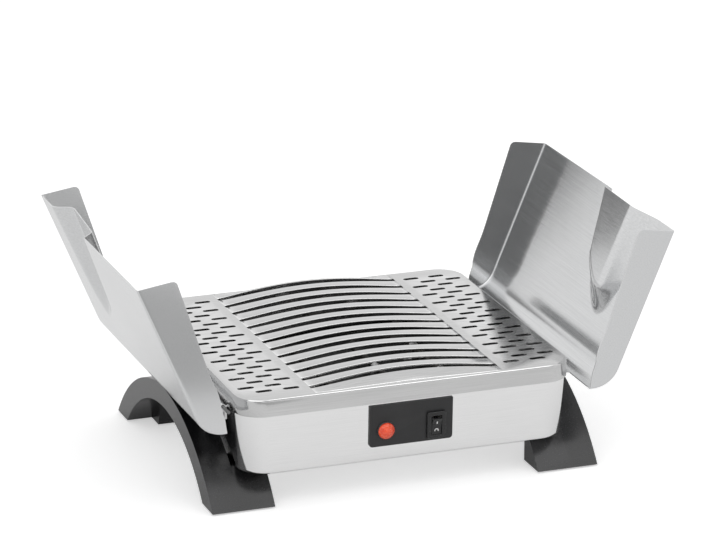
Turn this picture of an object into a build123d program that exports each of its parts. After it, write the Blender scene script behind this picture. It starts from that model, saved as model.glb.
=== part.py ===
from build123d import *
import math
import os

os.makedirs("parts", exist_ok=True)

# Twin-hood plate warmer. X to the right, Y to the back, Z up, origin on the table under the deck's centre.
# All sizes are millimetres.

# sheet metal and general fits
sheet = 0.8
seat_gap = 0.3
running_fit = 0.05
screw_fit = 0.1

# deck plate
deck_half_width = 149.0
deck_half_depth = 141.0
deck_corner = 24.0
deck_top = 99.0
deck_edge_radius = 4.0
skirt_height = 15.5

# crowned field with the plate slots
slot_pitch = 20.5
slot_width = 10.4
slot_end_width = 5.8
wing_width = 65.4
crown_height = 7.0
rib_lip = 1.6
rib_lip_radius = 1.2
margin_depth = 8.0
rim_width = 4.0

# small vent slots in the deck's wings
vent_pitch = 12.0
vent_length = 14.5
vent_width = 5.2
vent_column_pitch = 24.0
vent_stagger = 11.9
vent_side_gap = 14.4
vent_end_gap = 18.0

# drawn tub
tub_bottom = 31.0
tub_draft = 2.4
tub_floor_corner = 25.0
tub_top_drop = 4.5
tub_edge_radius = 3.0

# hoods
hood_angle = 22.7
hood_panel_length = 127.5
hood_curl_radius = 25.0
hood_curl_lean = 49.6
hood_deck_clearance = 1.2
hood_fold_radius = 2.2
end_wall_width = 34.0
end_wall_rise = 8.5
end_wall_corner = 4.0
end_wall_foot_x = 11.5
end_wall_foot_z = 1.5
end_wall_stop_angle = 262.0
curl_end_gap = 29.0

# finger recess pressed into one half of each hood
recess_inner = 10.0
recess_outer = 109.0
recess_low_inner = 42.0
recess_low_outer = 96.0
recess_length = 101.0
recess_depth_inner = 8.5
recess_depth_outer = 14.0
recess_depth_low = 8.0
recess_wall_slope = 3.0
recess_foot_slope = 11.0

# hinges
hinge_rod_radius = 1.5
hinge_out = 2.0
hinge_drop = 2.5
knuckle_clearance = 0.8
leaf_start = 58.0
leaf_length = 34.0
hood_knuckle_length = 20.0
leaf_drop = 11.0
leaf_thickness = 1.0
rivet_radius = 1.5
rivet_head_radius = 2.6
rivet_head_height = 1.0
rivet_inset = 7.0

# moulded legs
leg_reach = 24.5
leg_strip_width = 25.5
leg_foot_width = 55.0
leg_toe_setback = 4.0
leg_toe_length = 28.0
foot_length = 49.0
foot_heel_lean = 10.0
foot_heel_width = 37.0
leg_crown = 68.5
leg_soffit = 51.0
leg_edge_radius = 2.5
rest_half_length = 10.0
rest_width = 13.0
pad_height = 1.5
pad_width = 38.0
pad_length = 20.0
pad_outer_gap = 5.5
pad_toe_gap = 5.0

# leg screws
leg_screw_side_gap = 10.5
leg_screw_heel_gap = 12.0
leg_screw_radius = 1.75
leg_screw_head_radius = 3.5
leg_screw_head_height = 3.0
leg_screw_seat = 25.0
nut_radius = 4.0
nut_height = 3.2

# control panel
panel_x = 0.7
panel_width = 74.6
panel_height = 37.0
panel_drop = 1.9
panel_thickness = 1.8
panel_corner = 3.0
window_border = 3.2
panel_rib_width = 2.0
panel_rib_depth = 6.0
control_drop = 23.1

# pilot lamp
lamp_x = -21.7
lens_radius = 7.25
lens_rim = 1.2
lens_dome = 4.0
lens_socket_radius = 4.9
lens_socket_depth = 2.5
lamp_body_radius = 5.5
lamp_body_length = 20.0
lamp_nut_radius = 8.0
lamp_nut_height = 3.0

# rocker switch
switch_x = 23.0
switch_frame_width = 17.0
switch_frame_height = 24.0
switch_frame_depth = 2.0
switch_body_width = 13.0
switch_body_height = 19.4
switch_body_depth = 15.0
switch_tab_pitch = 5.5
rocker_width = 8.6
rocker_half_height = 7.4
rocker_face_depth = 4.3
rocker_tilt = 10.0
rocker_pivot_depth = 4.4
rocker_pin_radius = 1.0
rocker_pin_reach = 1.5
rocker_side_gap = 0.3
rocker_end_gap = 1.1
rocker_well_depth = 10.0
tab_width = 4.8
tab_thickness = 0.8
tab_length = 7.0

# heating chamber
standoff_height = 14.2
reflector_side_gap = 19.5
reflector_front_gap = 8.0
reflector_back_gap = 15.9
reflector_rim = 7.0
reflector_corner = 14.0
standoff_radius = 4.5
standoff_inset = 22.0
element_radius = 3.25
element_lift = 11.0
element_side_gap = 48.0
element_inner_x = 27.0
element_back_gap = 32.0
element_front_gap = 36.0
element_end_reach = 10.0
element_bend = 18.0
clip_width = 8.0
clip_flange = 7.0
pin_radius = 1.2
pin_length = 5.0

# wiring bay behind the control panel
bay_depth = 33.9
shield_side_gap = 8.0
shield_height = 39.7
shield_roof_depth = 22.0
shield_foot = 9.0
bushing_radius = 6.0
bushing_length = 5.0
thermostat_radius = 8.0
thermostat_depth = 9.0
thermostat_x = 0.0
cutout_x = 38.0
cutout_radius = 5.0
cutout_depth = 9.0
lead_gate_width = 26.0
lead_gate_height = 9.0
lead_radius = 1.2
lead_bend = 3.0
lead_top_gap = 4.5
lead_side_gap = 4.5
lead_front_gap = 1.0

# supply entry in the back wall
gland_x = 95.0
gland_rise = 15.2
gland_bore = 3.6
gland_neck_radius = 6.0
gland_flange_radius = 8.5
gland_flange_depth = 3.0
gland_nose_length = 4.4
gland_neck_length = 9.0
gland_nut_radius = 8.5
gland_nut_height = 4.0
block_x = 62.0
block_back_gap = 35.9
block_length = 30.0
block_depth = 18.0
block_height = 10.0
block_bore = 1.8
block_way_pitch = 9.0
stud_gap = 44.0
stud_radius = 2.0
stud_height = 9.5

# deck screws in the back and side skirts
deck_screw_x = 100.0
deck_screw_rise = 3.8
deck_screw_radius = 1.5
deck_screw_head_radius = 2.5
deck_screw_head_height = 1.8
deck_screw_length = 6.0

# worked-out places
skirt_bottom = deck_top - skirt_height
tub_half_width = deck_half_width - sheet - seat_gap
tub_half_depth = deck_half_depth - sheet - seat_gap
tub_corner = deck_corner - sheet - seat_gap
tub_top = deck_top - tub_top_drop
tub_floor = tub_bottom + sheet
tub_floor_half_width = tub_half_width - tub_draft
wall_slope = tub_draft / (tub_top - tub_bottom)
slot_half_length = deck_half_width - wing_width
land_y = deck_half_depth - rim_width - margin_depth
slot_count = int((2 * land_y + slot_pitch - slot_width) / slot_pitch)
vent_rows = 2 * int((deck_half_depth - vent_end_gap) / vent_pitch) + 1
vent_inner = deck_half_width - vent_side_gap - vent_stagger - vent_column_pitch
deck_screw_z = skirt_bottom + deck_screw_rise
hinge_x = deck_half_width + hinge_out
hinge_z = skirt_bottom - hinge_drop
knuckle_radius = hinge_rod_radius + running_fit + sheet
hood_half_depth = deck_half_depth + hood_deck_clearance + sheet
leaf_end = leaf_start + leaf_length
hood_knuckle_outer = leaf_end + seat_gap
hood_knuckle_inner = leaf_start - seat_gap - hood_knuckle_length
rod_half_length = hood_knuckle_outer + hood_knuckle_length
rest_top = hinge_z + (hood_curl_radius - knuckle_radius) * math.sin(math.radians(hood_curl_lean))
rest_top = rest_top - hood_curl_radius - seat_gap
leg_outer_x = deck_half_width + leg_reach
leg_strip_x = leg_outer_x - leg_strip_width
leg_inner_x = leg_outer_x - leg_foot_width
leg_toe_y = deck_half_depth - leg_toe_setback
leg_heel_y = leg_toe_y - leg_toe_length
foot_heel_y = leg_toe_y - foot_length
leg_screw_x = leg_strip_x - leg_screw_side_gap
leg_screw_y = foot_heel_y + leg_screw_heel_gap
panel_top = skirt_bottom - panel_drop
control_z = panel_top - control_drop
shield_y = bay_depth - tub_half_depth
reflector_z = tub_floor + standoff_height
reflector_half_width = tub_floor_half_width - reflector_side_gap
reflector_front = shield_y + reflector_front_gap
reflector_back = tub_half_depth - reflector_back_gap
element_z = reflector_z + element_lift
element_outer_x = reflector_half_width - element_side_gap
element_back_y = reflector_back - element_back_gap
element_front_y = reflector_front + element_front_gap
element_end_y = shield_y - element_end_reach
shield_half_width = reflector_half_width - shield_side_gap
shield_top = tub_floor + shield_height
shield_front = shield_y - shield_roof_depth
lead_high_z = shield_top - lead_top_gap
lead_front_y = shield_front + lead_front_gap
lead_back_y = shield_y - lead_side_gap
gland_z = tub_floor + gland_rise
block_y = tub_half_depth - block_back_gap
stud_y = block_y - stud_gap


def block(x0, x1, y0, y1, z0, z1):
    """Box from its two corners."""
    return Pos((x0 + x1) / 2, (y0 + y1) / 2, (z0 + z1) / 2) * Box(x1 - x0, y1 - y0, z1 - z0)


def rod_y(x, z, radius, y0, y1):
    """Cylinder along Y."""
    return Pos(x, (y0 + y1) / 2, z) * Rot(90, 0, 0) * Cylinder(radius, y1 - y0)


def rod_x(y, z, radius, x0, x1):
    """Cylinder along X."""
    return Pos((x0 + x1) / 2, y, z) * Rot(0, 90, 0) * Cylinder(radius, x1 - x0)


def rod_z(x, y, radius, z0, z1):
    """Cylinder along Z."""
    return Pos(x, y, (z0 + z1) / 2) * Cylinder(radius, z1 - z0)


def turned(shape):
    """The same piece on the other side, turned half round the vertical axis."""
    return shape.rotate(Axis.Z, 180)


def tub_wall_x(z):
    """Outer face of the tub's side wall at a height."""
    return tub_half_width - (tub_top - z) * wall_slope


def tub_wall_y(z):
    """Outer face of the tub's back wall at a height."""
    return tub_half_depth - (tub_top - z) * wall_slope


def wall_tilt():
    return math.degrees(math.atan(wall_slope))


def on_front(shape):
    """Set a piece on the front wall: made with the wall's face at y 0 and the controls' height at z 0."""
    return Pos(0, -tub_wall_y(control_z), control_z) * Rot(wall_tilt(), 0, 0) * shape


def front_point(x, y, z):
    """Where a point of the front wall's own frame lies."""
    lean = math.radians(wall_tilt())
    turned_y = y * math.cos(lean) - z * math.sin(lean)
    turned_z = y * math.sin(lean) + z * math.cos(lean)
    return x, turned_y - tub_wall_y(control_z), turned_z + control_z


def on_back(shape):
    """Set a piece on the back wall: made with the wall's face at y 0 and the supply entry at z 0."""
    return Pos(0, tub_wall_y(gland_z), gland_z) * Rot(-wall_tilt(), 0, 0) * shape


def hinge_point(radius, angle):
    """Point in the XZ plane around the centre of the right hood's curl."""
    lean = math.radians(hood_curl_lean)
    reach = hood_curl_radius - knuckle_radius
    a = math.radians(angle)
    x = hinge_x + reach * math.cos(lean) + radius * math.cos(a)
    z = hinge_z + reach * math.sin(lean) + radius * math.sin(a)
    return x, z


def side_sketch(points):
    """Closed outline in the XZ plane from straight lines."""
    return make_face(Polyline([(x, 0, z) for x, z in points], close=True))


def extrude_y(face, y0, y1):
    """Extrude an XZ outline from y0 to y1."""
    return extrude(Pos(0, y0, 0) * face, y1 - y0, dir=(0, 1, 0))


def rounded_prism(half_x, half_y, corner, z0, z1):
    return extrude(Pos(0, 0, z0) * RectangleRounded(2 * half_x, 2 * half_y, corner), z1 - z0)


# deck ---------------------------------------------------------------------

def vent_cutters():
    cutters = []
    for row in range(vent_rows):
        y = (row - (vent_rows - 1) / 2) * vent_pitch
        shift = vent_stagger if row % 2 else 0
        for column in range(2):
            x = vent_inner + column * vent_column_pitch + shift
            for side in (-1, 1):
                slot = Pos(side * x, y, deck_top - 2 * sheet) * SlotOverall(vent_length, vent_width)
                cutters.append(extrude(slot, 3 * sheet))
    return cutters


def crown_band(first_drop, last_drop):
    """Side view of the crowned sheet between two depths under its top."""
    half = slot_half_length
    top = deck_top - first_drop
    low = deck_top - last_drop
    return make_face(
        [
            ThreePointArc((-half, 0, top), (0, 0, top + crown_height), (half, 0, top)),
            Line((half, 0, top), (half, 0, low)),
            ThreePointArc((half, 0, low), (0, 0, low + crown_height), (-half, 0, low)),
            Line((-half, 0, low), (-half, 0, top)),
        ]
    )


def crowned_margin():
    """Strip that runs from the arched edge of the last slot down to the flat rim."""
    half = slot_half_length
    flat = side_sketch(
        [(-half, deck_top), (half, deck_top), (half, deck_top - sheet), (-half, deck_top - sheet)]
    )
    near = Pos(0, -land_y, 0) * crown_band(0, sheet)
    far = Pos(0, -land_y - margin_depth, 0) * flat
    outer_rib_y = slot_count * slot_pitch / 2
    land = rib_prism(0) & extrude_y(crown_band(0, sheet), outer_rib_y - land_y, slot_pitch)
    return loft([near, far], ruled=True) + Pos(0, -outer_rib_y, 0) * land


def deck_plate():
    outer = rounded_prism(deck_half_width, deck_half_depth, deck_corner, skirt_bottom, deck_top)
    outer = fillet(outer.edges().group_by(Axis.Z)[-1], deck_edge_radius)
    inner = rounded_prism(
        deck_half_width - sheet, deck_half_depth - sheet, deck_corner - sheet, skirt_bottom, deck_top - sheet
    )
    inner = fillet(inner.edges().group_by(Axis.Z)[-1], deck_edge_radius - sheet)
    shell = outer - inner
    opening = land_y + margin_depth
    shell -= block(-slot_half_length, slot_half_length, -opening, opening, skirt_bottom, deck_top + sheet)
    shell -= vent_cutters()
    shell -= [deck_screw_holes(deck_screw_radius + screw_fit)]
    margin = crowned_margin()
    return shell + margin + turned(margin)


def rib_prism(inset):
    """Plan of one rib, narrow in the middle and wide at its ends, as a tall prism."""
    half = slot_half_length
    wide = (slot_pitch - slot_end_width) / 2 - inset
    slim = (slot_pitch - slot_width) / 2 - inset
    face = make_face(
        [
            ThreePointArc((-half, -wide, skirt_bottom), (0, -slim, skirt_bottom), (half, -wide, skirt_bottom)),
            Line((half, -wide, skirt_bottom), (half, wide, skirt_bottom)),
            ThreePointArc((half, wide, skirt_bottom), (0, slim, skirt_bottom), (-half, wide, skirt_bottom)),
            Line((-half, wide, skirt_bottom), (-half, -wide, skirt_bottom)),
        ]
    )
    return extrude(face, skirt_height + 2 * crown_height)


def rounded_rib(inset, first_drop, last_drop, radius):
    """Rib as a full bar between two depths, its two long top edges rounded."""
    bar = rib_prism(inset) & extrude_y(crown_band(first_drop, last_drop), -slot_pitch, slot_pitch)
    long_edges = [e for e in bar.edges() if e.length > slot_half_length]
    long_edges = sorted(long_edges, key=lambda e: e.center().Z)[-2:]
    return fillet(long_edges, radius)


def deck_rib(y):
    """Arched rib with rolled-down edges."""
    blank = rounded_rib(0, 0, rib_lip, rib_lip_radius)
    core = rounded_rib(sheet, sheet, rib_lip + sheet, rib_lip_radius - sheet)
    return Pos(0, y, 0) * (blank - core)


def deck_ribs():
    rib = deck_rib(0)
    ribs = []
    for index in range(slot_count - 1):
        ribs.append(Pos(0, (index - (slot_count - 2) / 2) * slot_pitch, 0) * rib)
    return ribs


def deck_screw_holes(radius):
    reach = deck_screw_length
    holes = []
    for side in (-1, 1):
        x = side * deck_screw_x
        holes.append(rod_y(x, deck_screw_z, radius, deck_half_depth - reach, deck_half_depth + reach))
        edge = side * deck_half_width
        holes.append(rod_x(0, deck_screw_z, radius, edge - reach, edge + reach))
    return Compound(holes)


def deck_screws():
    tip = deck_half_depth - deck_screw_length
    head = deck_half_depth + deck_screw_head_height
    back = rod_y(deck_screw_x, deck_screw_z, deck_screw_radius, tip, deck_half_depth)
    back += rod_y(deck_screw_x, deck_screw_z, deck_screw_head_radius, deck_half_depth, head)
    side_tip = deck_half_width - deck_screw_length
    side_head = deck_half_width + deck_screw_head_height
    side = rod_x(0, deck_screw_z, deck_screw_radius, side_tip, deck_half_width)
    side += rod_x(0, deck_screw_z, deck_screw_head_radius, deck_half_width, side_head)
    return [back, Pos(-2 * deck_screw_x, 0, 0) * back, side, turned(side)]


# tub ----------------------------------------------------------------------

def tub_form(inset, floor_z, top_z, edge_radius):
    """Tub's outer form moved inwards, between two heights."""
    sections = []
    for z, corner in ((floor_z, tub_floor_corner), (top_z, tub_corner)):
        width = 2 * (tub_wall_x(z) - inset)
        depth = 2 * (tub_wall_y(z) - inset)
        sections.append(Pos(0, 0, z) * RectangleRounded(width, depth, corner - inset))
    form = loft(sections, ruled=True)
    return fillet(form.edges().group_by(Axis.Z)[0], edge_radius)


def base_tub():
    tub = tub_form(0, tub_bottom, tub_top, tub_edge_radius)
    tub -= tub_form(sheet, tub_floor, tub_top + sheet, tub_edge_radius - sheet)
    tub -= on_front(panel_window(0, 2 * sheet))
    tub -= on_back(rod_y(gland_x, 0, gland_neck_radius + screw_fit, -2 * sheet, sheet))
    tub -= [deck_screw_holes(deck_screw_radius + screw_fit)]
    for x in (-leg_screw_x, leg_screw_x):
        for y in (-leg_screw_y, leg_screw_y):
            tub -= rod_z(x, y, leg_screw_radius + screw_fit, tub_bottom - sheet, tub_floor + sheet)
    for x, y, z in rivet_places():
        tub -= rivet_hole(x, y, z)
        tub -= turned(rivet_hole(x, y, z))
    return tub


# control panel ------------------------------------------------------------

def panel_window(inset, depth):
    """Room behind the panel's plate where the front wall is cut away."""
    half = panel_width / 2 - window_border - inset
    top = panel_top - control_z - window_border - inset
    low = panel_top - control_z - panel_height + window_border + inset
    return block(panel_x - half, panel_x + half, -depth, depth, low, top)


def control_panel():
    top = panel_top - control_z
    half = panel_width / 2
    panel = block(panel_x - half, panel_x + half, -panel_thickness, 0, top - panel_height, top)
    panel = fillet(panel.edges().filter_by(Axis.Y).group_by(Axis.Z)[0], panel_corner)
    window = panel_window(seat_gap, panel_rib_depth)
    for x in (panel_x - half, 0, panel_x + half):
        reach = window_border + panel_rib_width
        wide = reach if x else panel_rib_width / 2
        panel += block(x - wide, x + wide, 0, panel_rib_depth, -panel_height, panel_height) & window
    panel -= rod_y(lamp_x, 0, lamp_body_radius + screw_fit, -2 * panel_thickness, panel_thickness)
    half_w = switch_body_width / 2 + screw_fit
    half_h = switch_body_height / 2 + screw_fit
    panel -= block(switch_x - half_w, switch_x + half_w, -2 * panel_thickness, panel_thickness, -half_h, half_h)
    return on_front(panel)


def lamp_lens():
    """Domed lens, made standing up and then faced forward."""
    dome_radius = (lens_radius**2 + lens_dome**2) / (2 * lens_dome)
    top = lens_rim + lens_dome
    lens = rod_z(0, 0, lens_radius, 0, top) & Pos(0, 0, top - dome_radius) * Sphere(dome_radius)
    lens &= rod_z(0, 0, lens_radius, 0, top)
    lens -= rod_z(0, 0, lens_socket_radius + screw_fit, -1, lens_socket_depth)
    return on_front(Pos(lamp_x, -panel_thickness, 0) * Rot(90, 0, 0) * lens)


def lamp_body():
    front = -panel_thickness
    back = front + lamp_body_length
    body = rod_y(lamp_x, 0, lamp_body_radius, front, back)
    body += rod_y(lamp_x, 0, lens_socket_radius, front - lens_socket_depth + seat_gap, front)
    for side in (-1, 1):
        x = lamp_x + side * lamp_body_radius / 2
        body += block(
            x - tab_thickness / 2, x + tab_thickness / 2, back, back + tab_length, -tab_width / 2, tab_width / 2
        )
    return on_front(body)


def lamp_nut():
    hexagon = extrude(RegularPolygon(lamp_nut_radius, 6), lamp_nut_height)
    hexagon -= rod_z(0, 0, lamp_body_radius + running_fit, -1, lamp_nut_height + 1)
    return on_front(Pos(lamp_x, 0, 0) * Rot(-90, 0, 0) * hexagon)


def rocker_pivot_y():
    """Depth of the rocker's pin in the front wall's frame."""
    return rocker_pivot_depth - panel_thickness - switch_frame_depth


def switch_housing():
    face = -panel_thickness
    frame_front = face - switch_frame_depth
    back = face + switch_body_depth
    half_w = switch_frame_width / 2
    half_h = switch_frame_height / 2
    frame = block(switch_x - half_w, switch_x + half_w, frame_front, face, -half_h, half_h)
    frame = fillet(frame.edges().filter_by(Axis.Y), switch_frame_depth)
    frame = chamfer(frame.faces().sort_by(Axis.Y)[0].edges(), switch_frame_depth / 3)
    half_w = switch_body_width / 2
    half_h = switch_body_height / 2
    housing = frame + block(switch_x - half_w, switch_x + half_w, face, back, -half_h, half_h)
    half_w = rocker_width / 2 + rocker_side_gap
    half_h = rocker_half_height + rocker_end_gap
    well_back = frame_front + rocker_well_depth
    housing -= block(switch_x - half_w, switch_x + half_w, frame_front - 1, well_back, -half_h, half_h)
    reach = half_w + rocker_pin_reach + screw_fit
    housing -= rod_x(rocker_pivot_y(), 0, rocker_pin_radius + running_fit, switch_x - reach, switch_x + reach)
    for step in (-1, 0, 1):
        z = step * switch_tab_pitch
        housing += block(
            switch_x - tab_width / 2,
            switch_x + tab_width / 2,
            back,
            back + tab_length,
            z - tab_thickness / 2,
            z + tab_thickness / 2,
        )
    return on_front(housing)


def switch_rocker():
    """Rocker with two faces, turned about its pin so that its lower face is pressed in."""
    face = rocker_face_depth
    rise = rocker_half_height * math.tan(math.radians(rocker_tilt))
    outline = [
        (-face, 0),
        (-face - rise, rocker_half_height),
        (-face + 2 * rise, rocker_half_height),
        (face / 3, rocker_half_height / 2),
        (face / 3, -rocker_half_height / 2),
        (-face + 2 * rise, -rocker_half_height),
        (-face - rise, -rocker_half_height),
    ]
    profile = make_face(Polyline([(0, y, z) for y, z in outline], close=True))
    body = extrude(Pos(-rocker_width / 2, 0, 0) * profile, rocker_width, dir=(1, 0, 0))
    pin_half = rocker_width / 2 + rocker_side_gap + rocker_pin_reach
    body += rod_x(0, 0, rocker_pin_radius, -pin_half, pin_half)
    return on_front(Pos(switch_x, rocker_pivot_y(), 0) * Rot(rocker_tilt, 0, 0) * body)


# hoods --------------------------------------------------------------------

def panel_corner_point(length, inset):
    """Point on the hood's straight panel, a length up from the curl and inset from its outer face."""
    lean = math.radians(hood_angle)
    x, z = hinge_point(hood_curl_radius - inset, -hood_angle)
    return x + length * math.sin(lean), z + length * math.cos(lean)


def end_wall_face():
    rise = math.radians(end_wall_rise)
    top_x, top_z = panel_corner_point(hood_panel_length, 0)
    inner = (top_x - end_wall_width * math.cos(rise), top_z + end_wall_width * math.sin(rise))
    foot = (hinge_x + end_wall_foot_x, hinge_z + end_wall_foot_z)
    start = hinge_point(hood_curl_radius, end_wall_stop_angle)
    middle = hinge_point(hood_curl_radius, (end_wall_stop_angle + 360 - hood_angle) / 2)
    tangent = hinge_point(hood_curl_radius, -hood_angle)
    face = make_face(
        [
            ThreePointArc(flat3(start), flat3(middle), flat3(tangent)),
            Line(flat3(tangent), flat3((top_x, top_z))),
            Line(flat3((top_x, top_z)), flat3(inner)),
            Line(flat3(inner), flat3(foot)),
            Line(flat3(foot), flat3(start)),
        ]
    )
    return fillet(face.vertices().group_by(Axis.Z)[-1], end_wall_corner)


def flat3(point):
    return point[0], 0, point[1]


def inner_face():
    """Everything on the deck's side of the hood's sheet, between the end walls."""
    tangent = hinge_point(hood_curl_radius - sheet, -hood_angle)
    start = hinge_point(hood_curl_radius - sheet, end_wall_stop_angle - 60)
    middle = hinge_point(hood_curl_radius - sheet, 300)
    top = panel_corner_point(hood_panel_length + end_wall_width, sheet)
    far = (top[0] - 3 * end_wall_width - hood_curl_radius, top[1] + end_wall_width)
    low = (start[0] - hood_curl_radius, start[1])
    return make_face(
        [
            ThreePointArc(flat3(start), flat3(middle), flat3(tangent)),
            Line(flat3(tangent), flat3(top)),
            Line(flat3(top), flat3(far)),
            Line(flat3(far), flat3(low)),
            Line(flat3(low), flat3(start)),
        ]
    )


def curl_strip():
    """The curl's sheet from its lowest line to the hinge, cut back short of both end walls."""
    first = hood_curl_lean + 180
    last = end_wall_stop_angle + 2
    outer = [hinge_point(hood_curl_radius, a) for a in (first, (first + last) / 2, last)]
    inner = [hinge_point(hood_curl_radius - sheet, a) for a in (last, (first + last) / 2, first)]
    face = make_face(
        [
            ThreePointArc(*[flat3(p) for p in outer]),
            Line(flat3(outer[2]), flat3(inner[0])),
            ThreePointArc(*[flat3(p) for p in inner]),
            Line(flat3(inner[2]), flat3(outer[0])),
        ]
    )
    reach = hood_half_depth - curl_end_gap
    return extrude_y(face, -reach, reach)


def recess_frame():
    """Plane on the panel's outer face at its free edge: x along -Y, y down the panel, z inward."""
    lean = math.radians(hood_angle)
    x, z = panel_corner_point(hood_panel_length, 0)
    down = (-math.sin(lean), 0, -math.cos(lean))
    inward = (-math.cos(lean), 0, math.sin(lean))
    return Plane(origin=(x, 0, z), x_dir=(0, -1, 0), z_dir=inward), down


def recess_form(grow):
    """Pressed recess as a solid between its mouth and its sloping floor, grown by the sheet."""
    plane, down = recess_frame()
    sign = 1 if plane.y_dir.dot(Vector(*down)) > 0 else -1
    lip = 4 * sheet
    wall = recess_wall_slope
    mouth = [
        (recess_inner - grow, -lip),
        (recess_outer + grow, -lip),
        (recess_low_outer + grow, recess_length + grow),
        (recess_low_inner - grow, recess_length + grow),
    ]
    floor = [
        (recess_inner + wall - grow, -lip, recess_depth_inner + grow),
        (recess_outer - wall + grow, -lip, recess_depth_outer + grow),
        (recess_low_outer - wall + grow, recess_length - recess_foot_slope + grow, recess_depth_low + grow),
        (recess_low_inner + wall - grow, recess_length - recess_foot_slope + grow, recess_depth_low + grow),
    ]
    mouth_points = [plane.from_local_coords(Vector(u, sign * v, -lip)) for u, v in mouth]
    floor_points = [plane.from_local_coords(Vector(u, sign * v, w)) for u, v, w in floor]
    return solid_between(mouth_points, floor_points)


def solid_between(low, high):
    """Closed solid between two loops of four points, each face a triangle pair."""
    faces = []
    for loop in (low, high):
        faces.append(triangle(loop[0], loop[1], loop[2]))
        faces.append(triangle(loop[0], loop[2], loop[3]))
    for index in range(4):
        after = (index + 1) % 4
        faces.append(triangle(low[index], low[after], high[after]))
        faces.append(triangle(low[index], high[after], high[index]))
    return Solid(Shell(faces))


def triangle(a, b, c):
    return Face(Wire.make_polygon([a, b, c], close=True))


def hood():
    """Right hood: panel, end walls, curl, knuckles and the pressed finger recess."""
    blank = extrude_y(end_wall_face(), -hood_half_depth, hood_half_depth)
    tangent = hinge_point(hood_curl_radius, -hood_angle)
    top = panel_corner_point(hood_panel_length, 0)
    folds = []
    for edge in blank.edges():
        center = edge.center()
        on_side = abs(abs(center.Y) - hood_half_depth) < 0.01
        middle_x = (tangent[0] + top[0]) / 2
        if on_side and edge.geom_type == GeomType.LINE and abs(center.X - middle_x) < 0.5:
            folds.append(edge)
        if on_side and edge.geom_type == GeomType.CIRCLE and center.Z < hinge_z + hood_curl_radius:
            folds.append(edge)
    blank = fillet(folds, hood_fold_radius)
    cavity = extrude_y(inner_face(), sheet - hood_half_depth, hood_half_depth - sheet)
    shell = blank - cavity
    shell += curl_strip()
    shell += recess_form(sheet) & extrude_y(sheet_band(), -hood_half_depth, hood_half_depth)
    shell -= recess_form(0)
    for side in (-1, 1):
        for start in (hood_knuckle_inner, hood_knuckle_outer):
            ends = sorted((side * start, side * (start + hood_knuckle_length)))
            shell += rod_y(hinge_x, hinge_z, knuckle_radius, *ends)
        gate = sorted((side * (leaf_start - seat_gap), side * (leaf_end + seat_gap)))
        shell -= rod_y(hinge_x, hinge_z, knuckle_radius + knuckle_clearance, *gate)
        for start in (0, hood_knuckle_outer + hood_knuckle_length):
            stop = hood_knuckle_inner if start == 0 else hood_half_depth + 1
            ends = sorted((side * start, side * stop))
            shell -= rod_y(hinge_x, hinge_z, knuckle_radius + knuckle_clearance, *ends)
    shell -= rod_y(hinge_x, hinge_z, hinge_rod_radius + running_fit, -hood_half_depth, hood_half_depth)
    return shell


def sheet_band():
    """Side view of the room that the pressed recess may fill: inside the free edge of the panel."""
    low = panel_corner_point(0, 0)
    high = panel_corner_point(hood_panel_length, 0)
    lean = math.radians(hood_angle)
    depth = recess_depth_outer * 2
    shift = (-depth * math.cos(lean), depth * math.sin(lean))
    return side_sketch(
        [low, high, (high[0] + shift[0], high[1] + shift[1]), (low[0] + shift[0], low[1] + shift[1])]
    )


# hinges -------------------------------------------------------------------

def rivet_places():
    """Centres of the rivets on the right-hand wall: x, y, z on the wall's outer face."""
    places = []
    z = hinge_z - knuckle_radius - leaf_drop / 2
    for side in (-1, 1):
        for y in (leaf_start + rivet_inset, leaf_end - rivet_inset):
            places.append((tub_wall_x(z), side * y, z))
    return places


def rivet_hole(x, y, z):
    hole = Rot(0, 90, 0) * Cylinder(rivet_radius + running_fit, 10 * sheet)
    return Pos(x, y, z) * Rot(0, wall_tilt(), 0) * hole


def rivet(x, y, z):
    back = sheet + seat_gap
    front = leaf_thickness + rivet_head_height
    shank = rod_x(0, 0, rivet_radius, -back, leaf_thickness)
    shank += rod_x(0, 0, rivet_head_radius, leaf_thickness, front)
    shank += rod_x(0, 0, rivet_head_radius, -sheet - rivet_head_height, -sheet)
    return Pos(x, y, z) * Rot(0, wall_tilt(), 0) * shank


def hinge_rivets():
    rivets = [rivet(*place) for place in rivet_places()]
    return rivets + [turned(each) for each in rivets]


def hinge_leaf():
    """Fixed hinge leaves on the right-hand wall, each a plate with its knuckle."""
    top = hinge_z - knuckle_radius / 2
    low = hinge_z - knuckle_radius - leaf_drop
    lean = math.radians(wall_tilt())
    shift_x = leaf_thickness * math.cos(lean)
    shift_z = -leaf_thickness * math.sin(lean)
    outline = [
        (tub_wall_x(low), low),
        (tub_wall_x(top), top),
        (hinge_x, top),
        (hinge_x, hinge_z - knuckle_radius),
        (tub_wall_x(hinge_z - knuckle_radius) + shift_x, hinge_z - knuckle_radius + shift_z),
        (tub_wall_x(low) + shift_x, low + shift_z),
    ]
    leaves = []
    for side in (-1, 1):
        ends = sorted((side * leaf_start, side * leaf_end))
        leaf = extrude_y(side_sketch(outline), *ends)
        leaf += rod_y(hinge_x, hinge_z, knuckle_radius, *ends)
        leaf -= rod_y(hinge_x, hinge_z, hinge_rod_radius + running_fit, *ends)
        leaves.append(leaf)
    for x, y, z in rivet_places():
        leaves = [each - rivet_hole(x, y, z) for each in leaves]
    return leaves


def hinge_rod():
    return rod_y(hinge_x, hinge_z, hinge_rod_radius, -rod_half_length, rod_half_length)


# legs ---------------------------------------------------------------------

def arch_circle(toe_y, crown_z):
    """Radius and centre height of an arc through both toes and its crown."""
    radius = (toe_y**2 + crown_z**2) / (2 * crown_z)
    return radius, crown_z - radius


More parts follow.
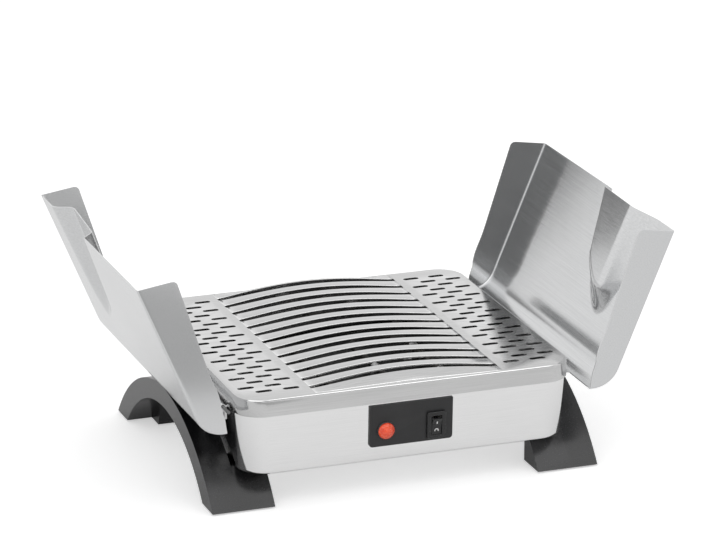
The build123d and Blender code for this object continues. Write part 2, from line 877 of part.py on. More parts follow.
def foot_block(side, outer_radius, outer_z):
    """Foot beside the strip: wide at its toe, narrow at its heel, its top under the tub's floor."""
    heel_x = leg_outer_x - foot_heel_width
    heel_top_y = foot_heel_y - foot_heel_lean
    profile = [
        (foot_heel_y, pad_height),
        (heel_top_y, tub_bottom),
        (leg_toe_y, tub_bottom),
        (leg_toe_y, pad_height),
    ]
    side_face = make_face(Polyline([(leg_inner_x, side * y, z) for y, z in profile], close=True))
    foot = extrude(side_face, leg_strip_x - leg_inner_x, dir=(1, 0, 0))
    plan = [
        (leg_inner_x, leg_toe_y),
        (leg_strip_x, leg_toe_y),
        (leg_strip_x, heel_top_y),
        (heel_x, heel_top_y),
        (heel_x, foot_heel_y),
    ]
    plan_face = make_face(Polyline([(x, side * y, 0) for x, y in plan], close=True))
    foot &= extrude(plan_face, tub_bottom, dir=(0, 0, 1))
    return foot & rod_x(0, outer_z, outer_radius, leg_inner_x - 1, leg_strip_x + 1)


def leg():
    """Right leg: arched strip, the hood's rest on its crown, and a foot block at each end."""
    outer_radius, outer_z = arch_circle(leg_toe_y, leg_crown)
    inner_radius, inner_z = arch_circle(leg_heel_y, leg_soffit)
    drum = rod_x(0, outer_z, outer_radius, leg_strip_x, leg_outer_x)
    drum -= rod_x(0, inner_z, inner_radius, leg_strip_x - 1, leg_outer_x + 1)
    span = outer_radius + 1
    strip = drum & block(leg_strip_x, leg_outer_x, -span, span, pad_height, leg_crown + 1)
    strip = fillet(
        [e for e in strip.edges() if e.geom_type == GeomType.CIRCLE and abs(e.center().X - leg_outer_x) < 0.01],
        leg_edge_radius,
    )
    rest_outer_x = leg_outer_x - leg_edge_radius
    rest_low = leg_soffit + 2 * leg_edge_radius
    half = rest_half_length
    rest = block(rest_outer_x - rest_width, rest_outer_x, -half, half, rest_low, rest_top)
    body = strip + fillet(rest.edges().group_by(Axis.Z)[-1], leg_edge_radius / 2)
    for side in (-1, 1):
        y = side * leg_screw_y
        body += foot_block(side, outer_radius, outer_z)
        body -= rod_z(leg_screw_x, y, leg_screw_radius + screw_fit, pad_height, tub_bottom)
        body -= rod_z(leg_screw_x, y, leg_screw_head_radius + screw_fit, 0, leg_screw_seat)
    return body


def leg_screws():
    screws = []
    for x in (-leg_screw_x, leg_screw_x):
        for y in (-leg_screw_y, leg_screw_y):
            top = tub_floor + nut_height + 1
            screw = rod_z(x, y, leg_screw_radius, leg_screw_seat, top)
            screw += rod_z(x, y, leg_screw_head_radius, leg_screw_seat - leg_screw_head_height, leg_screw_seat)
            screws.append(screw)
    return screws


def leg_nuts():
    nuts = []
    for x in (-leg_screw_x, leg_screw_x):
        for y in (-leg_screw_y, leg_screw_y):
            nut = extrude(RegularPolygon(nut_radius, 6), nut_height)
            nut -= rod_z(0, 0, leg_screw_radius + running_fit, -1, nut_height + 1)
            nuts.append(Pos(x, y, tub_floor) * nut)
    return nuts


def foot_pads():
    pads = []
    middle_x = leg_outer_x - pad_outer_gap - pad_width / 2
    middle_y = leg_toe_y - pad_toe_gap - pad_length / 2
    for x in (-middle_x, middle_x):
        for y in (-middle_y, middle_y):
            pad = extrude(RectangleRounded(pad_width, pad_length, pad_length / 4), pad_height)
            pads.append(Pos(x, y, 0) * pad)
    return pads


# heating chamber ----------------------------------------------------------

def heat_reflector():
    middle_y = (reflector_front + reflector_back) / 2
    half_y = (reflector_back - reflector_front) / 2
    rim_z = reflector_z + reflector_rim
    outer = rounded_prism(reflector_half_width, half_y, reflector_corner, reflector_z, rim_z)
    outer = fillet(outer.edges().group_by(Axis.Z)[0], 3)
    inner = rounded_prism(
        reflector_half_width - sheet,
        half_y - sheet,
        reflector_corner - sheet,
        reflector_z + sheet,
        rim_z + sheet,
    )
    inner = fillet(inner.edges().group_by(Axis.Z)[0], 3 - sheet)
    return Pos(0, middle_y, 0) * (outer - inner)


def reflector_standoffs():
    posts = []
    for x in (standoff_inset - reflector_half_width, reflector_half_width - standoff_inset):
        for y in (reflector_front + standoff_inset, reflector_back - standoff_inset):
            posts.append(rod_z(x, y, standoff_radius, tub_floor, reflector_z))
    return posts


def heating_element():
    """Tubular element bent into an M on one level, its cold ends in the wiring bay."""
    path = FilletPolyline(
        (-element_outer_x, element_end_y, element_z),
        (-element_outer_x, element_back_y, element_z),
        (-element_inner_x, element_back_y, element_z),
        (-element_inner_x, element_front_y, element_z),
        (element_inner_x, element_front_y, element_z),
        (element_inner_x, element_back_y, element_z),
        (element_outer_x, element_back_y, element_z),
        (element_outer_x, element_end_y, element_z),
        radius=element_bend,
    )
    start = Plane(origin=path @ 0, z_dir=path % 0)
    return sweep(start * Circle(element_radius), path=path)


def element_terminals():
    """Terminal pins with blade tabs on both cold ends."""
    pins = []
    for x in (-element_outer_x, element_outer_x):
        tip = element_end_y - pin_length
        pin = rod_y(x, element_z, pin_radius, tip, element_end_y)
        pin += block(
            x - tab_thickness / 2,
            x + tab_thickness / 2,
            tip - tab_length,
            tip,
            element_z - tab_width / 2,
            element_z + tab_width / 2,
        )
        pins.append(pin)
    return pins


def element_bushings():
    rings = []
    for x in (-element_outer_x, element_outer_x):
        ring = rod_y(x, element_z, bushing_radius, shield_y - bushing_length / 2, shield_y + bushing_length / 2)
        flange = rod_y(x, element_z, bushing_radius + 2, shield_y + sheet / 2, shield_y + bushing_length / 2)
        ring += flange
        bore = element_radius + running_fit
        ring -= rod_y(x, element_z, bore, shield_y - bushing_length, shield_y + bushing_length)
        rings.append(ring)
    return rings


def clip_places():
    """Middle of each element clip: x, y along the straight runs."""
    places = []
    for side in (-1, 1):
        places.append((side * element_outer_x, (element_end_y + element_back_y) / 2))
        places.append((side * element_inner_x, (element_front_y + element_back_y) / 2))
        places.append((side * element_outer_x, element_back_y - 2 * element_bend))
    return places


def element_clips():
    """Strap clips that hold the element over the reflector."""
    clips = []
    base = reflector_z + sheet
    outer = element_radius + running_fit + sheet
    for x, y in clip_places():
        front = y - clip_width / 2
        back = y + clip_width / 2
        strap = rod_y(x, element_z, outer, front, back)
        strap += block(x - outer, x + outer, front, back, base, element_z)
        strap += block(x - outer - clip_flange, x + outer + clip_flange, front, back, base, base + sheet)
        inner = outer - sheet
        strap -= rod_y(x, element_z, inner, front - 1, back + 1)
        strap -= block(x - inner, x + inner, front - 1, back + 1, base - 1, element_z)
        clips.append(strap)
    return clips


# wiring bay ---------------------------------------------------------------

def control_shield():
    """Folded shield between the heating chamber and the wiring bay."""
    half = sheet / 2
    wide = shield_half_width
    shield = block(-wide, wide, shield_y - half, shield_y + half, tub_floor, shield_top)
    shield += block(-wide, wide, shield_front, shield_y + half, shield_top - sheet, shield_top)
    shield += block(-wide, wide, shield_y, shield_y + shield_foot, tub_floor, tub_floor + sheet)
    for x in (-element_outer_x, element_outer_x):
        shield -= rod_y(x, element_z, bushing_radius + screw_fit, shield_y - 2, shield_y + 2)
    shield -= rod_y(thermostat_x, element_z, thermostat_radius + screw_fit, shield_y - 2, shield_y + 2)
    shield -= rod_y(cutout_x, element_z, cutout_radius + screw_fit, shield_y - 2, shield_y + 2)
    left = block_x - lead_gate_width / 2
    gate_top = tub_floor + lead_gate_height
    shield -= block(left, left + lead_gate_width, shield_y - 2, shield_y + shield_foot + 1, tub_floor, gate_top)
    return shield


def thermostat():
    """Disc thermostat: sensing cap in the chamber, flange on the shield, blades in the bay."""
    back = shield_y + sheet / 2
    front = shield_y - thermostat_depth
    body = rod_y(thermostat_x, element_z, thermostat_radius, front, back + 1)
    body += rod_y(thermostat_x, element_z, thermostat_radius - 1.5, back + 1, back + 3)
    ears = block(
        thermostat_x - thermostat_radius - 6,
        thermostat_x + thermostat_radius + 6,
        back,
        back + 1,
        element_z - 4,
        element_z + 4,
    )
    body += ears
    return body + blade_pair(thermostat_x, thermostat_radius / 2, front)


def thermal_cutout():
    """Cutout beside the thermostat, its two blades in the bay."""
    back = shield_y + sheet / 2
    front = shield_y - cutout_depth
    body = rod_y(cutout_x, element_z, cutout_radius, front, back + 2)
    body += rod_y(cutout_x, element_z, cutout_radius + 3, back, back + 1)
    return body + blade_pair(cutout_x, cutout_radius / 2, front)


def blade_pair(x, reach, front):
    """Two upright blades that point forward from a device in the shield."""
    blades = []
    for side in (-1, 1):
        middle = x + side * reach
        blades.append(
            block(
                middle - tab_thickness / 2,
                middle + tab_thickness / 2,
                front - tab_length,
                front,
                element_z - tab_width / 2,
                element_z + tab_width / 2,
            )
        )
    return blades


def terminal_block():
    """Two-way terminal block on the tub floor, close to the supply entry."""
    left = block_x - block_length / 2
    front = block_y - block_depth / 2
    back = block_y + block_depth / 2
    body = block(left, left + block_length, front, back, tub_floor, tub_floor + block_height)
    body = fillet(body.edges().filter_by(Axis.Z), 1.5)
    middle_z = tub_floor + block_height / 2
    for way in (-1, 0, 1):
        x = block_x + way * block_way_pitch
        body -= rod_y(x, middle_z, block_bore, block_y - block_depth, block_y + block_depth)
        body -= rod_z(x, block_y - block_depth / 4, block_bore, middle_z, tub_floor + block_height + 1)
        body -= rod_z(x, block_y + block_depth / 4, block_bore, middle_z, tub_floor + block_height + 1)
    return body


def earth_stud():
    stud = rod_z(block_x, stud_y, stud_radius, tub_floor, tub_floor + stud_height)
    stud += rod_z(block_x, stud_y, 2 * stud_radius, tub_floor, tub_floor + 1)
    nut = extrude(RegularPolygon(nut_radius, 6), nut_height)
    return stud + Pos(block_x, stud_y, tub_floor + nut_height) * nut


def lead(points):
    """Insulated lead along straight runs joined by arcs."""
    path = FilletPolyline(*points, radius=lead_bend)
    start = Plane(origin=path @ 0, z_dir=path % 0)
    return sweep(start * Circle(lead_radius), path=path)


def internal_leads():
    """Leads between the terminal block, the controls and both ends of the element."""
    low = tub_floor + block_height / 2
    high = lead_high_z
    front = lead_front_y
    back = lead_back_y
    block_front = block_y - block_depth / 2
    way = block_way_pitch
    stat_x = thermostat_x + thermostat_radius / 2
    cut_x = cutout_x + cutout_radius / 2
    blade_tip = shield_y - thermostat_depth - tab_length
    blade_top = element_z + tab_width / 2
    tab_y = switch_body_depth + tab_length - panel_thickness + screw_fit
    feed = front_point(switch_x, tab_y, -switch_tab_pitch)
    out = front_point(switch_x, tab_y, 0)
    supply = lead(
        [
            (block_x - way, block_front, low),
            (block_x - way, back, low),
            (switch_x, back, low),
            (switch_x, back, feed[2]),
            feed,
        ]
    )
    to_thermostat = lead(
        [
            out,
            (switch_x, back, out[2]),
            (switch_x, back, high),
            (stat_x, back, high),
            (stat_x, front, high),
            (stat_x, front, element_z),
            (stat_x, blade_tip, element_z),
        ]
    )
    to_left_end = lead(
        [
            (-stat_x, blade_tip, element_z),
            (-stat_x, front, element_z),
            (-stat_x, front, high),
            (-element_outer_x, front, high),
            (-element_outer_x, front, blade_top),
        ]
    )
    to_right_end = lead(
        [
            (2 * cutout_x - cut_x, blade_tip, element_z),
            (2 * cutout_x - cut_x, front, element_z),
            (2 * cutout_x - cut_x, front, high),
            (element_outer_x, front, high),
            (element_outer_x, front, blade_top),
        ]
    )
    neutral = lead(
        [
            (block_x + way, block_front, low),
            (block_x + way, front, low),
            (cut_x, front, low),
            (cut_x, front, element_z),
            (cut_x, blade_tip, element_z),
        ]
    )
    earth = rod_y(block_x, low, lead_radius, stud_y + nut_radius, block_front)
    return [supply, to_thermostat, to_left_end, to_right_end, neutral, earth]


# supply entry -------------------------------------------------------------

def cable_gland():
    tip = gland_flange_depth + gland_nose_length
    gland = rod_y(gland_x, 0, gland_neck_radius, 0, tip)
    gland = chamfer(gland.faces().sort_by(Axis.Y)[-1].edges(), 1)
    gland += rod_y(gland_x, 0, gland_flange_radius, 0, gland_flange_depth)
    gland += rod_y(gland_x, 0, gland_neck_radius, -sheet - gland_neck_length, 0)
    gland -= rod_y(gland_x, 0, gland_bore, -2 * gland_neck_length, 2 * tip)
    return on_back(gland)


def gland_nut():
    nut = extrude(RegularPolygon(gland_nut_radius, 6), gland_nut_height)
    nut -= rod_z(0, 0, gland_neck_radius + running_fit, -1, gland_nut_height + 1)
    return on_back(Pos(gland_x, -sheet, 0) * Rot(90, 0, 0) * nut)


# write --------------------------------------------------------------------

def write(name, shape):
    if isinstance(shape, list):
        solids = [solid for each in shape for solid in each.solids()]
        shape = Compound(solids)
    shape.label = name
    export_step(shape, f"parts/{name}.step")
    print(name, len(shape.solids()), round(shape.volume, 1))


def main():
    right_hood = hood()
    right_leg = leg()
    leaves = hinge_leaf()
    write("deck_plate", deck_plate())
    write("deck_ribs", deck_ribs())
    write("deck_screws", deck_screws())
    write("base_tub", base_tub())
    write("control_panel", control_panel())
    write("pilot_lamp_lens", lamp_lens())
    write("pilot_lamp_body", lamp_body())
    write("pilot_lamp_nut", lamp_nut())
    write("switch_housing", switch_housing())
    write("switch_rocker", switch_rocker())
    write("right_hood", right_hood)
    write("left_hood", turned(right_hood))
    write("right_hinge_leaves", leaves)
    write("left_hinge_leaves", [turned(each) for each in leaves])
    write("right_hinge_rod", hinge_rod())
    write("left_hinge_rod", turned(hinge_rod()))
    write("hinge_rivets", hinge_rivets())
    write("right_leg", right_leg)
    write("left_leg", turned(right_leg))
    write("leg_screws", leg_screws())
    write("leg_nuts", leg_nuts())
    write("foot_pads", foot_pads())
    write("heat_reflector", heat_reflector())
    write("reflector_standoffs", reflector_standoffs())
    write("heating_element", heating_element())
    write("element_terminals", element_terminals())
    write("element_bushings", element_bushings())
    write("element_clips", element_clips())
    write("control_shield", control_shield())
    write("thermostat", thermostat())
    write("thermal_cutout", thermal_cutout())
    write("terminal_block", terminal_block())
    write("earth_stud", earth_stud())
    write("internal_leads", internal_leads())
    write("cable_gland", cable_gland())
    write("gland_nut", gland_nut())


main()
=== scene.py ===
import math

import bmesh
import bpy
from mathutils import Matrix, Vector


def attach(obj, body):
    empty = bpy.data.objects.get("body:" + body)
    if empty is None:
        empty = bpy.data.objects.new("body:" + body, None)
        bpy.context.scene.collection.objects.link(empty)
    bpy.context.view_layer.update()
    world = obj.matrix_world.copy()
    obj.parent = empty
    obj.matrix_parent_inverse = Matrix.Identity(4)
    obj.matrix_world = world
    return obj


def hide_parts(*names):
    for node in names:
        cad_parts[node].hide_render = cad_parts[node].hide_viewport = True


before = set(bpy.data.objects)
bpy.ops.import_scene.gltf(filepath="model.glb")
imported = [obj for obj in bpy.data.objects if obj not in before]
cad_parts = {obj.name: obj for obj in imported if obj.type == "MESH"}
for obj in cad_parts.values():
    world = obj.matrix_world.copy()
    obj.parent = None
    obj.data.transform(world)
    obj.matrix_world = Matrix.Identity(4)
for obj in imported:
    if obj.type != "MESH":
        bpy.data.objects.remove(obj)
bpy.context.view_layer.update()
mm = 0.001
level = 0.001  # mm, points closer than this are taken as one
print("frame loaded")


# pieces are drawn in millimetres and turned to metres here
def finishPiece(name, bm, material, body, nodes, sharp=35):
    bmesh.ops.scale(bm, vec=(mm, mm, mm), verts=bm.verts)
    mesh = bpy.data.meshes.new(name)
    bm.to_mesh(mesh)
    bm.free()
    mesh.shade_smooth()
    mesh.set_sharp_from_angle(angle=math.radians(sharp))
    mesh.materials.append(material)
    piece = bpy.data.objects.new(name, mesh)
    bpy.context.collection.objects.link(piece)
    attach(piece, body)
    if nodes:
        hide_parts(*nodes)
    return piece


def applySteps(piece, sharp=35):
    bpy.context.view_layer.update()
    graph = bpy.context.evaluated_depsgraph_get()
    mesh = bpy.data.meshes.new_from_object(piece.evaluated_get(graph))
    piece.modifiers.clear()
    piece.data = mesh
    mesh.shade_smooth()
    mesh.set_sharp_from_angle(angle=math.radians(sharp))


def carve(piece, tool, mode="DIFFERENCE", sharp=35):
    bmesh.ops.scale(tool, vec=(mm, mm, mm), verts=tool.verts)
    mesh = bpy.data.meshes.new("tool")
    tool.to_mesh(mesh)
    tool.free()
    cutter = bpy.data.objects.new("tool", mesh)
    bpy.context.collection.objects.link(cutter)
    step = piece.modifiers.new("carve", "BOOLEAN")
    step.object = cutter
    step.operation = mode
    step.solver = "EXACT"
    applySteps(piece, sharp)
    bpy.data.objects.remove(cutter)


def giveThickness(piece, thickness, even=True):
    step = piece.modifiers.new("thickness", "SOLIDIFY")
    step.thickness = thickness * mm
    step.offset = -1
    step.use_even_offset = even


def softEdges(piece, width, segments=2, angle=40):
    step = piece.modifiers.new("softEdges", "BEVEL")
    step.width = width * mm
    step.segments = segments
    step.limit_method = "ANGLE"
    step.angle_limit = math.radians(angle)
    step.harden_normals = True


def bar(x0, x1, y0, y1, z0, z1, bm=None):
    bm = bm or bmesh.new()
    middle = Matrix.Translation(((x0 + x1) / 2, (y0 + y1) / 2, (z0 + z1) / 2))
    bmesh.ops.create_cube(bm, size=1, matrix=middle @ Matrix.Diagonal((x1 - x0, y1 - y0, z1 - z0, 1)))
    return bm


def roundEdges(bm, edges, radius, segments):
    bmesh.ops.bevel(
        bm, geom=list(edges), offset=radius, offset_type="OFFSET", segments=segments, profile=0.5,
        affect="EDGES", clamp_overlap=True, material=-1,
    )


def runsAlong(edge, axis):
    along = edge.verts[1].co - edge.verts[0].co
    return abs(along[axis]) > 0.99 * along.length


def roundedBox(halfX, halfY, z0, z1, corner, segments=12):
    bm = bar(-halfX, halfX, -halfY, halfY, z0, z1)
    roundEdges(bm, [e for e in bm.edges if runsAlong(e, 2)], corner, segments)
    return bm


def edgesAt(bm, axis, value):
    return [e for e in bm.edges if all(abs(v.co[axis] - value) < level for v in e.verts)]


def openAt(bm, height):
    # takes away the flat face at this height
    flat = [f for f in bm.faces if all(abs(v.co.z - height) < level for v in f.verts)]
    bmesh.ops.delete(bm, geom=flat, context="FACES")


def newVerts(made):
    return [item for item in made["geom"] if isinstance(item, bmesh.types.BMVert)]


def everything(bm):
    return list(bm.verts) + list(bm.edges) + list(bm.faces)


def faceTowards(bm, x, y, z):
    # an open sheet shows this side, and its thickness hangs behind it
    bmesh.ops.recalc_face_normals(bm, faces=bm.faces)
    if sum(f.normal.dot(Vector((x, y, z))) for f in bm.faces) < 0:
        bmesh.ops.reverse_faces(bm, faces=bm.faces)


def sideways(x, y=0.0, z=0.0):
    # turns a lathed shape's axis onto +Y
    return Matrix.Translation((x, y, z)) @ Matrix.Rotation(-math.pi / 2, 4, "X")


def forwards(x, y=0.0, z=0.0):
    # turns a lathed shape's axis onto -Y
    return Matrix.Translation((x, y, z)) @ Matrix.Rotation(math.pi / 2, 4, "X")


def lathe(profile, place, steps=32, bm=None):
    # profile: points (radius, height), turned about the local Z axis
    bm = bm or bmesh.new()
    earlier = set(bm.verts)
    chain = [bm.verts.new((radius, 0, height)) for radius, height in profile]
    edges = [bm.edges.new(pair) for pair in zip(chain, chain[1:])]
    bmesh.ops.spin(
        bm, geom=chain + edges, cent=(0, 0, 0), axis=(0, 0, 1), angle=math.tau, steps=steps, use_merge=True
    )
    turned = [v for v in bm.verts if v not in earlier]
    bmesh.ops.remove_doubles(bm, verts=turned, dist=level)
    turned = [v for v in turned if v.is_valid]
    bmesh.ops.transform(bm, matrix=place, verts=turned)
    bmesh.ops.recalc_face_normals(bm, faces=list({f for v in turned for f in v.link_faces}))
    return bm


def pin(radius, start, stop, place, steps=32, bm=None):
    return lathe([(0, start), (radius, start), (radius, stop), (0, stop)], place, steps, bm)


def tube(bm, x, z, outer, inner, y0, y1, steps=24):
    profile = [(inner, y0), (outer, y0), (outer, y1), (inner, y1), (inner, y0)]
    return lathe(profile, sideways(x, 0, z), steps, bm)


def gridSheet(columns, rows, placePoint, bm=None):
    # a sheet of columns x rows points, each put where placePoint(i, j) says
    bm = bm or bmesh.new()
    made = bmesh.ops.create_grid(bm, x_segments=columns - 1, y_segments=rows - 1, size=1)
    for vert in made["verts"]:
        i = round((vert.co.x + 1) / 2 * (columns - 1))
        j = round((vert.co.y + 1) / 2 * (rows - 1))
        vert.co = placePoint(i, j)
    return bm


def spread(first, last, count):
    return [first + (last - first) * i / (count - 1) for i in range(count)]


def smoothStep(value):
    value = min(max(value, 0), 1)
    return value * value * (3 - 2 * value)


def addNode(tree, kind, **settings):
    node = tree.nodes.new(kind)
    for key, value in settings.items():
        setattr(node, key, value)
    return node


def setInputs(node, **values):
    for key, value in values.items():
        node.inputs[key.replace("_", " ")].default_value = value


def newGroup(name, inputs, outputs):
    group = bpy.data.node_groups.new(name, "ShaderNodeTree")
    for label, value in inputs:
        socket = group.interface.new_socket(label, in_out="INPUT", socket_type="NodeSocketFloat")
        socket.default_value = value
    for label in outputs:
        group.interface.new_socket(label, in_out="OUTPUT", socket_type="NodeSocketFloat")
    return group, addNode(group, "NodeGroupInput"), addNode(group, "NodeGroupOutput")


def mathNode(tree, operation, first, second):
    node = addNode(tree, "ShaderNodeMath", operation=operation)
    for socket, value in zip(node.inputs, (first, second)):
        if isinstance(value, (int, float)):
            socket.default_value = value
        else:
            tree.links.new(value, socket)
    return node.outputs[0]


def makeGrainGroup():
    # long fine lines, as a brushing belt leaves them, along the stretched axis
    group, inlet, outlet = newGroup(
        "brushedGrain", [("Along X", 6), ("Along Y", 900), ("Along Z", 900)], ["Grain"]
    )
    place = addNode(group, "ShaderNodeTexCoord")
    scale = addNode(group, "ShaderNodeCombineXYZ")
    for axis in "XYZ":
        group.links.new(inlet.outputs["Along " + axis], scale.inputs[axis])
    stretch = addNode(group, "ShaderNodeVectorMath", operation="MULTIPLY")
    group.links.new(place.outputs["Object"], stretch.inputs[0])
    group.links.new(scale.outputs[0], stretch.inputs[1])
    lines = addNode(group, "ShaderNodeTexNoise")
    setInputs(lines, Scale=1.0, Detail=4.0, Roughness=0.65)
    group.links.new(stretch.outputs[0], lines.inputs["Vector"])
    group.links.new(lines.outputs[0], outlet.inputs["Grain"])
    return group


def makeHandlingGroup():
    # broad soft patches of handling and cleaning, and a few fine specks
    group, inlet, outlet = newGroup(
        "handlingMarks", [("Patch Size", 9), ("Speck Size", 420)], ["Patches", "Specks"]
    )
    place = addNode(group, "ShaderNodeTexCoord")
    noises = (("Patch Size", "Patches", 5.0, 0.6), ("Speck Size", "Specks", 2.0, 0.5))
    for size, mark, detail, rough in noises:
        noise = addNode(group, "ShaderNodeTexNoise")
        setInputs(noise, Detail=detail, Roughness=rough)
        group.links.new(place.outputs["Object"], noise.inputs["Vector"])
        group.links.new(inlet.outputs[size], noise.inputs["Scale"])
        group.links.new(noise.outputs[0], outlet.inputs[mark])
    return group


def makeEdgeGroup():
    # brighter where an edge stands out: partly rubbed wear, partly a painted edge highlight
    group, inlet, outlet = newGroup("edgeWearAndSheen", [("Start", 0.52), ("End", 0.62)], ["Edge"])
    shape = addNode(group, "ShaderNodeNewGeometry")
    band = addNode(group, "ShaderNodeMapRange")
    group.links.new(shape.outputs["Pointiness"], band.inputs["Value"])
    group.links.new(inlet.outputs["Start"], band.inputs["From Min"])
    group.links.new(inlet.outputs["End"], band.inputs["From Max"])
    group.links.new(band.outputs[0], outlet.inputs["Edge"])
    return group


grainGroup = makeGrainGroup()
handlingGroup = makeHandlingGroup()
edgeGroup = makeEdgeGroup()
noiseSpan = (0.3, 0.7)  # where nearly all of a noise lies
softSpan = (0.35, 0.65)
bumpDepth = {"wave": 0.002, "grain": 0.00005, "speck": 0.00008}  # metres


def placeGroup(tree, group, **values):
    node = addNode(tree, "ShaderNodeGroup", node_tree=group)
    setInputs(node, **values)
    return node


def mapRange(tree, source, low, high, fromLow=0.0, fromHigh=1.0):
    node = addNode(tree, "ShaderNodeMapRange")
    setInputs(node, From_Min=fromLow, From_Max=fromHigh, To_Min=low, To_Max=high)
    tree.links.new(source, node.inputs["Value"])
    return node.outputs[0]


def mixColors(tree, mask, first, second):
    # first and second: a colour, or what another node puts out
    node = addNode(tree, "ShaderNodeMix", data_type="RGBA")
    for socket, value in ((node.inputs[0], mask), (node.inputs[6], first), (node.inputs[7], second)):
        if isinstance(value, tuple):
            socket.default_value = (*value, 1)
        else:
            tree.links.new(value, socket)
    return node.outputs[2]


def bump(tree, height, strength, distance, normal=None):
    node = addNode(tree, "ShaderNodeBump")
    setInputs(node, Strength=strength, Distance=distance)
    tree.links.new(height, node.inputs["Height"])
    if normal:
        tree.links.new(normal, node.inputs["Normal"])
    return node.outputs[0]


def startMaterial(name):
    material = bpy.data.materials.new(name)
    material.use_nodes = True
    tree = material.node_tree
    shader = tree.nodes["Principled BSDF"]
    return material, tree, shader


def metalMaterial(name, look):
    material, tree, shader = startMaterial(name)
    along = look["grain"]
    grain = placeGroup(tree, grainGroup, Along_X=along[0], Along_Y=along[1], Along_Z=along[2])
    marks = placeGroup(tree, handlingGroup, Patch_Size=look["patchSize"], Speck_Size=500)
    edge = placeGroup(tree, edgeGroup, Start=0.52, End=0.6)
    tone = mapRange(tree, grain.outputs[0], 0, 1, *noiseSpan)
    colors = mixColors(tree, tone, look["dark"], look["light"])
    # edges take the lighter edge colour: rubbed wear and a painted edge highlight
    tree.links.new(mixColors(tree, edge.outputs[0], colors, look["edge"]), shader.inputs["Base Color"])
    rough = mapRange(tree, marks.outputs["Patches"], *look["rough"], *noiseSpan)
    fine = mapRange(tree, grain.outputs[0], -look["roughGrain"], look["roughGrain"], *noiseSpan)
    tree.links.new(mathNode(tree, "ADD", rough, fine), shader.inputs["Roughness"])
    waves = bump(tree, marks.outputs["Patches"], look["wave"], bumpDepth["wave"])
    lines = bump(tree, grain.outputs[0], look["bump"], bumpDepth["grain"], waves)
    tree.links.new(lines, shader.inputs["Normal"])
    shader.inputs["Metallic"].default_value = 1
    return material


def plasticMaterial(name, look):
    material, tree, shader = startMaterial(name)
    marks = placeGroup(tree, handlingGroup, Patch_Size=14, Speck_Size=look["speckSize"])
    edge = placeGroup(tree, edgeGroup, Start=0.52, End=0.62)
    tone = mapRange(tree, marks.outputs["Patches"], 0, 1, *softSpan)
    colors = mixColors(tree, tone, look["dark"], look["light"])
    # edges turn lighter: rubbed wear and a painted edge sheen
    rubbedAndSheen = mathNode(tree, "MULTIPLY", edge.outputs[0], look["edgeShare"])
    tree.links.new(mixColors(tree, rubbedAndSheen, colors, look["edge"]), shader.inputs["Base Color"])
    rough = mapRange(tree, marks.outputs["Specks"], *look["rough"], *noiseSpan)
    tree.links.new(rough, shader.inputs["Roughness"])
    specks = bump(tree, marks.outputs["Specks"], look["bump"], bumpDepth["speck"])
    tree.links.new(specks, shader.inputs["Normal"])
    return material


hoodSteel = metalMaterial("hoodSteel", {
    "dark": (0.60, 0.605, 0.61), "light": (0.69, 0.695, 0.70), "edge": (0.82, 0.82, 0.82),
    "rough": (0.13, 0.19), "roughGrain": 0.02, "grain": (900, 14, 900),
    "patchSize": 7, "wave": 0.05, "bump": 0.03,
})
tubSteel = metalMaterial("tubSteel", {
    "dark": (0.76, 0.76, 0.76), "light": (0.82, 0.82, 0.82), "edge": (0.86, 0.86, 0.86),
    "rough": (0.08, 0.12), "roughGrain": 0.02, "grain": (30, 2400, 2400),
    "patchSize": 6, "wave": 0.02, "bump": 0.05,
})
deckSteel = metalMaterial("deckSteel", {
    "dark": (0.50, 0.50, 0.50), "light": (0.60, 0.60, 0.60), "edge": (0.80, 0.80, 0.80),
    "rough": (0.10, 0.16), "roughGrain": 0.03, "grain": (20, 1600, 1600),
    "patchSize": 8, "wave": 0.03, "bump": 0.06,
})
plainSteel = metalMaterial("plainSteel", {
    "dark": (0.50, 0.50, 0.51), "light": (0.60, 0.60, 0.61), "edge": (0.75, 0.75, 0.75),
    "rough": (0.28, 0.40), "roughGrain": 0.05, "grain": (60, 900, 900),
    "patchSize": 40, "wave": 0.02, "bump": 0.06,
})
rolledAluminium = metalMaterial("rolledAluminium", {
    "dark": (0.70, 0.71, 0.72), "light": (0.80, 0.81, 0.82), "edge": (0.88, 0.88, 0.88),
    "rough": (0.22, 0.38), "roughGrain": 0.05, "grain": (700, 12, 700),
    "patchSize": 16, "wave": 0.06, "bump": 0.05,
})
blackSteel = metalMaterial("blackSteel", {
    "dark": (0.05, 0.05, 0.05), "light": (0.09, 0.09, 0.09), "edge": (0.22, 0.22, 0.22),
    "rough": (0.30, 0.42), "roughGrain": 0.05, "grain": (300, 300, 300),
    "patchSize": 40, "wave": 0.02, "bump": 0.06,
})
elementSheath = metalMaterial("elementSheath", {
    "dark": (0.045, 0.042, 0.040), "light": (0.10, 0.094, 0.088), "edge": (0.20, 0.19, 0.18),
    "rough": (0.45, 0.60), "roughGrain": 0.05, "grain": (200, 200, 200),
    "patchSize": 30, "wave": 0.05, "bump": 0.10,
})
brassPins = metalMaterial("brassPins", {
    "dark": (0.62, 0.50, 0.24), "light": (0.76, 0.62, 0.34), "edge": (0.85, 0.72, 0.42),
    "rough": (0.24, 0.36), "roughGrain": 0.04, "grain": (500, 60, 500),
    "patchSize": 50, "wave": 0.02, "bump": 0.05,
})
legPlastic = plasticMaterial("legPlastic", {
    "dark": (0.004, 0.004, 0.0045), "light": (0.008, 0.008, 0.009), "edge": (0.03, 0.03, 0.032),
    "edgeShare": 0.5, "rough": (0.20, 0.28), "speckSize": 900, "bump": 0.15,
})
panelPlastic = plasticMaterial("panelPlastic", {
    "dark": (0.010, 0.010, 0.011), "light": (0.018, 0.018, 0.019), "edge": (0.05, 0.05, 0.05),
    "edgeShare": 0.6, "rough": (0.38, 0.50), "speckSize": 1400, "bump": 0.30,
})
switchPlastic = plasticMaterial("switchPlastic", {
    "dark": (0.006, 0.006, 0.007), "light": (0.012, 0.012, 0.013), "edge": (0.05, 0.05, 0.05),
    "edgeShare": 0.6, "rough": (0.22, 0.32), "speckSize": 1800, "bump": 0.12,
})
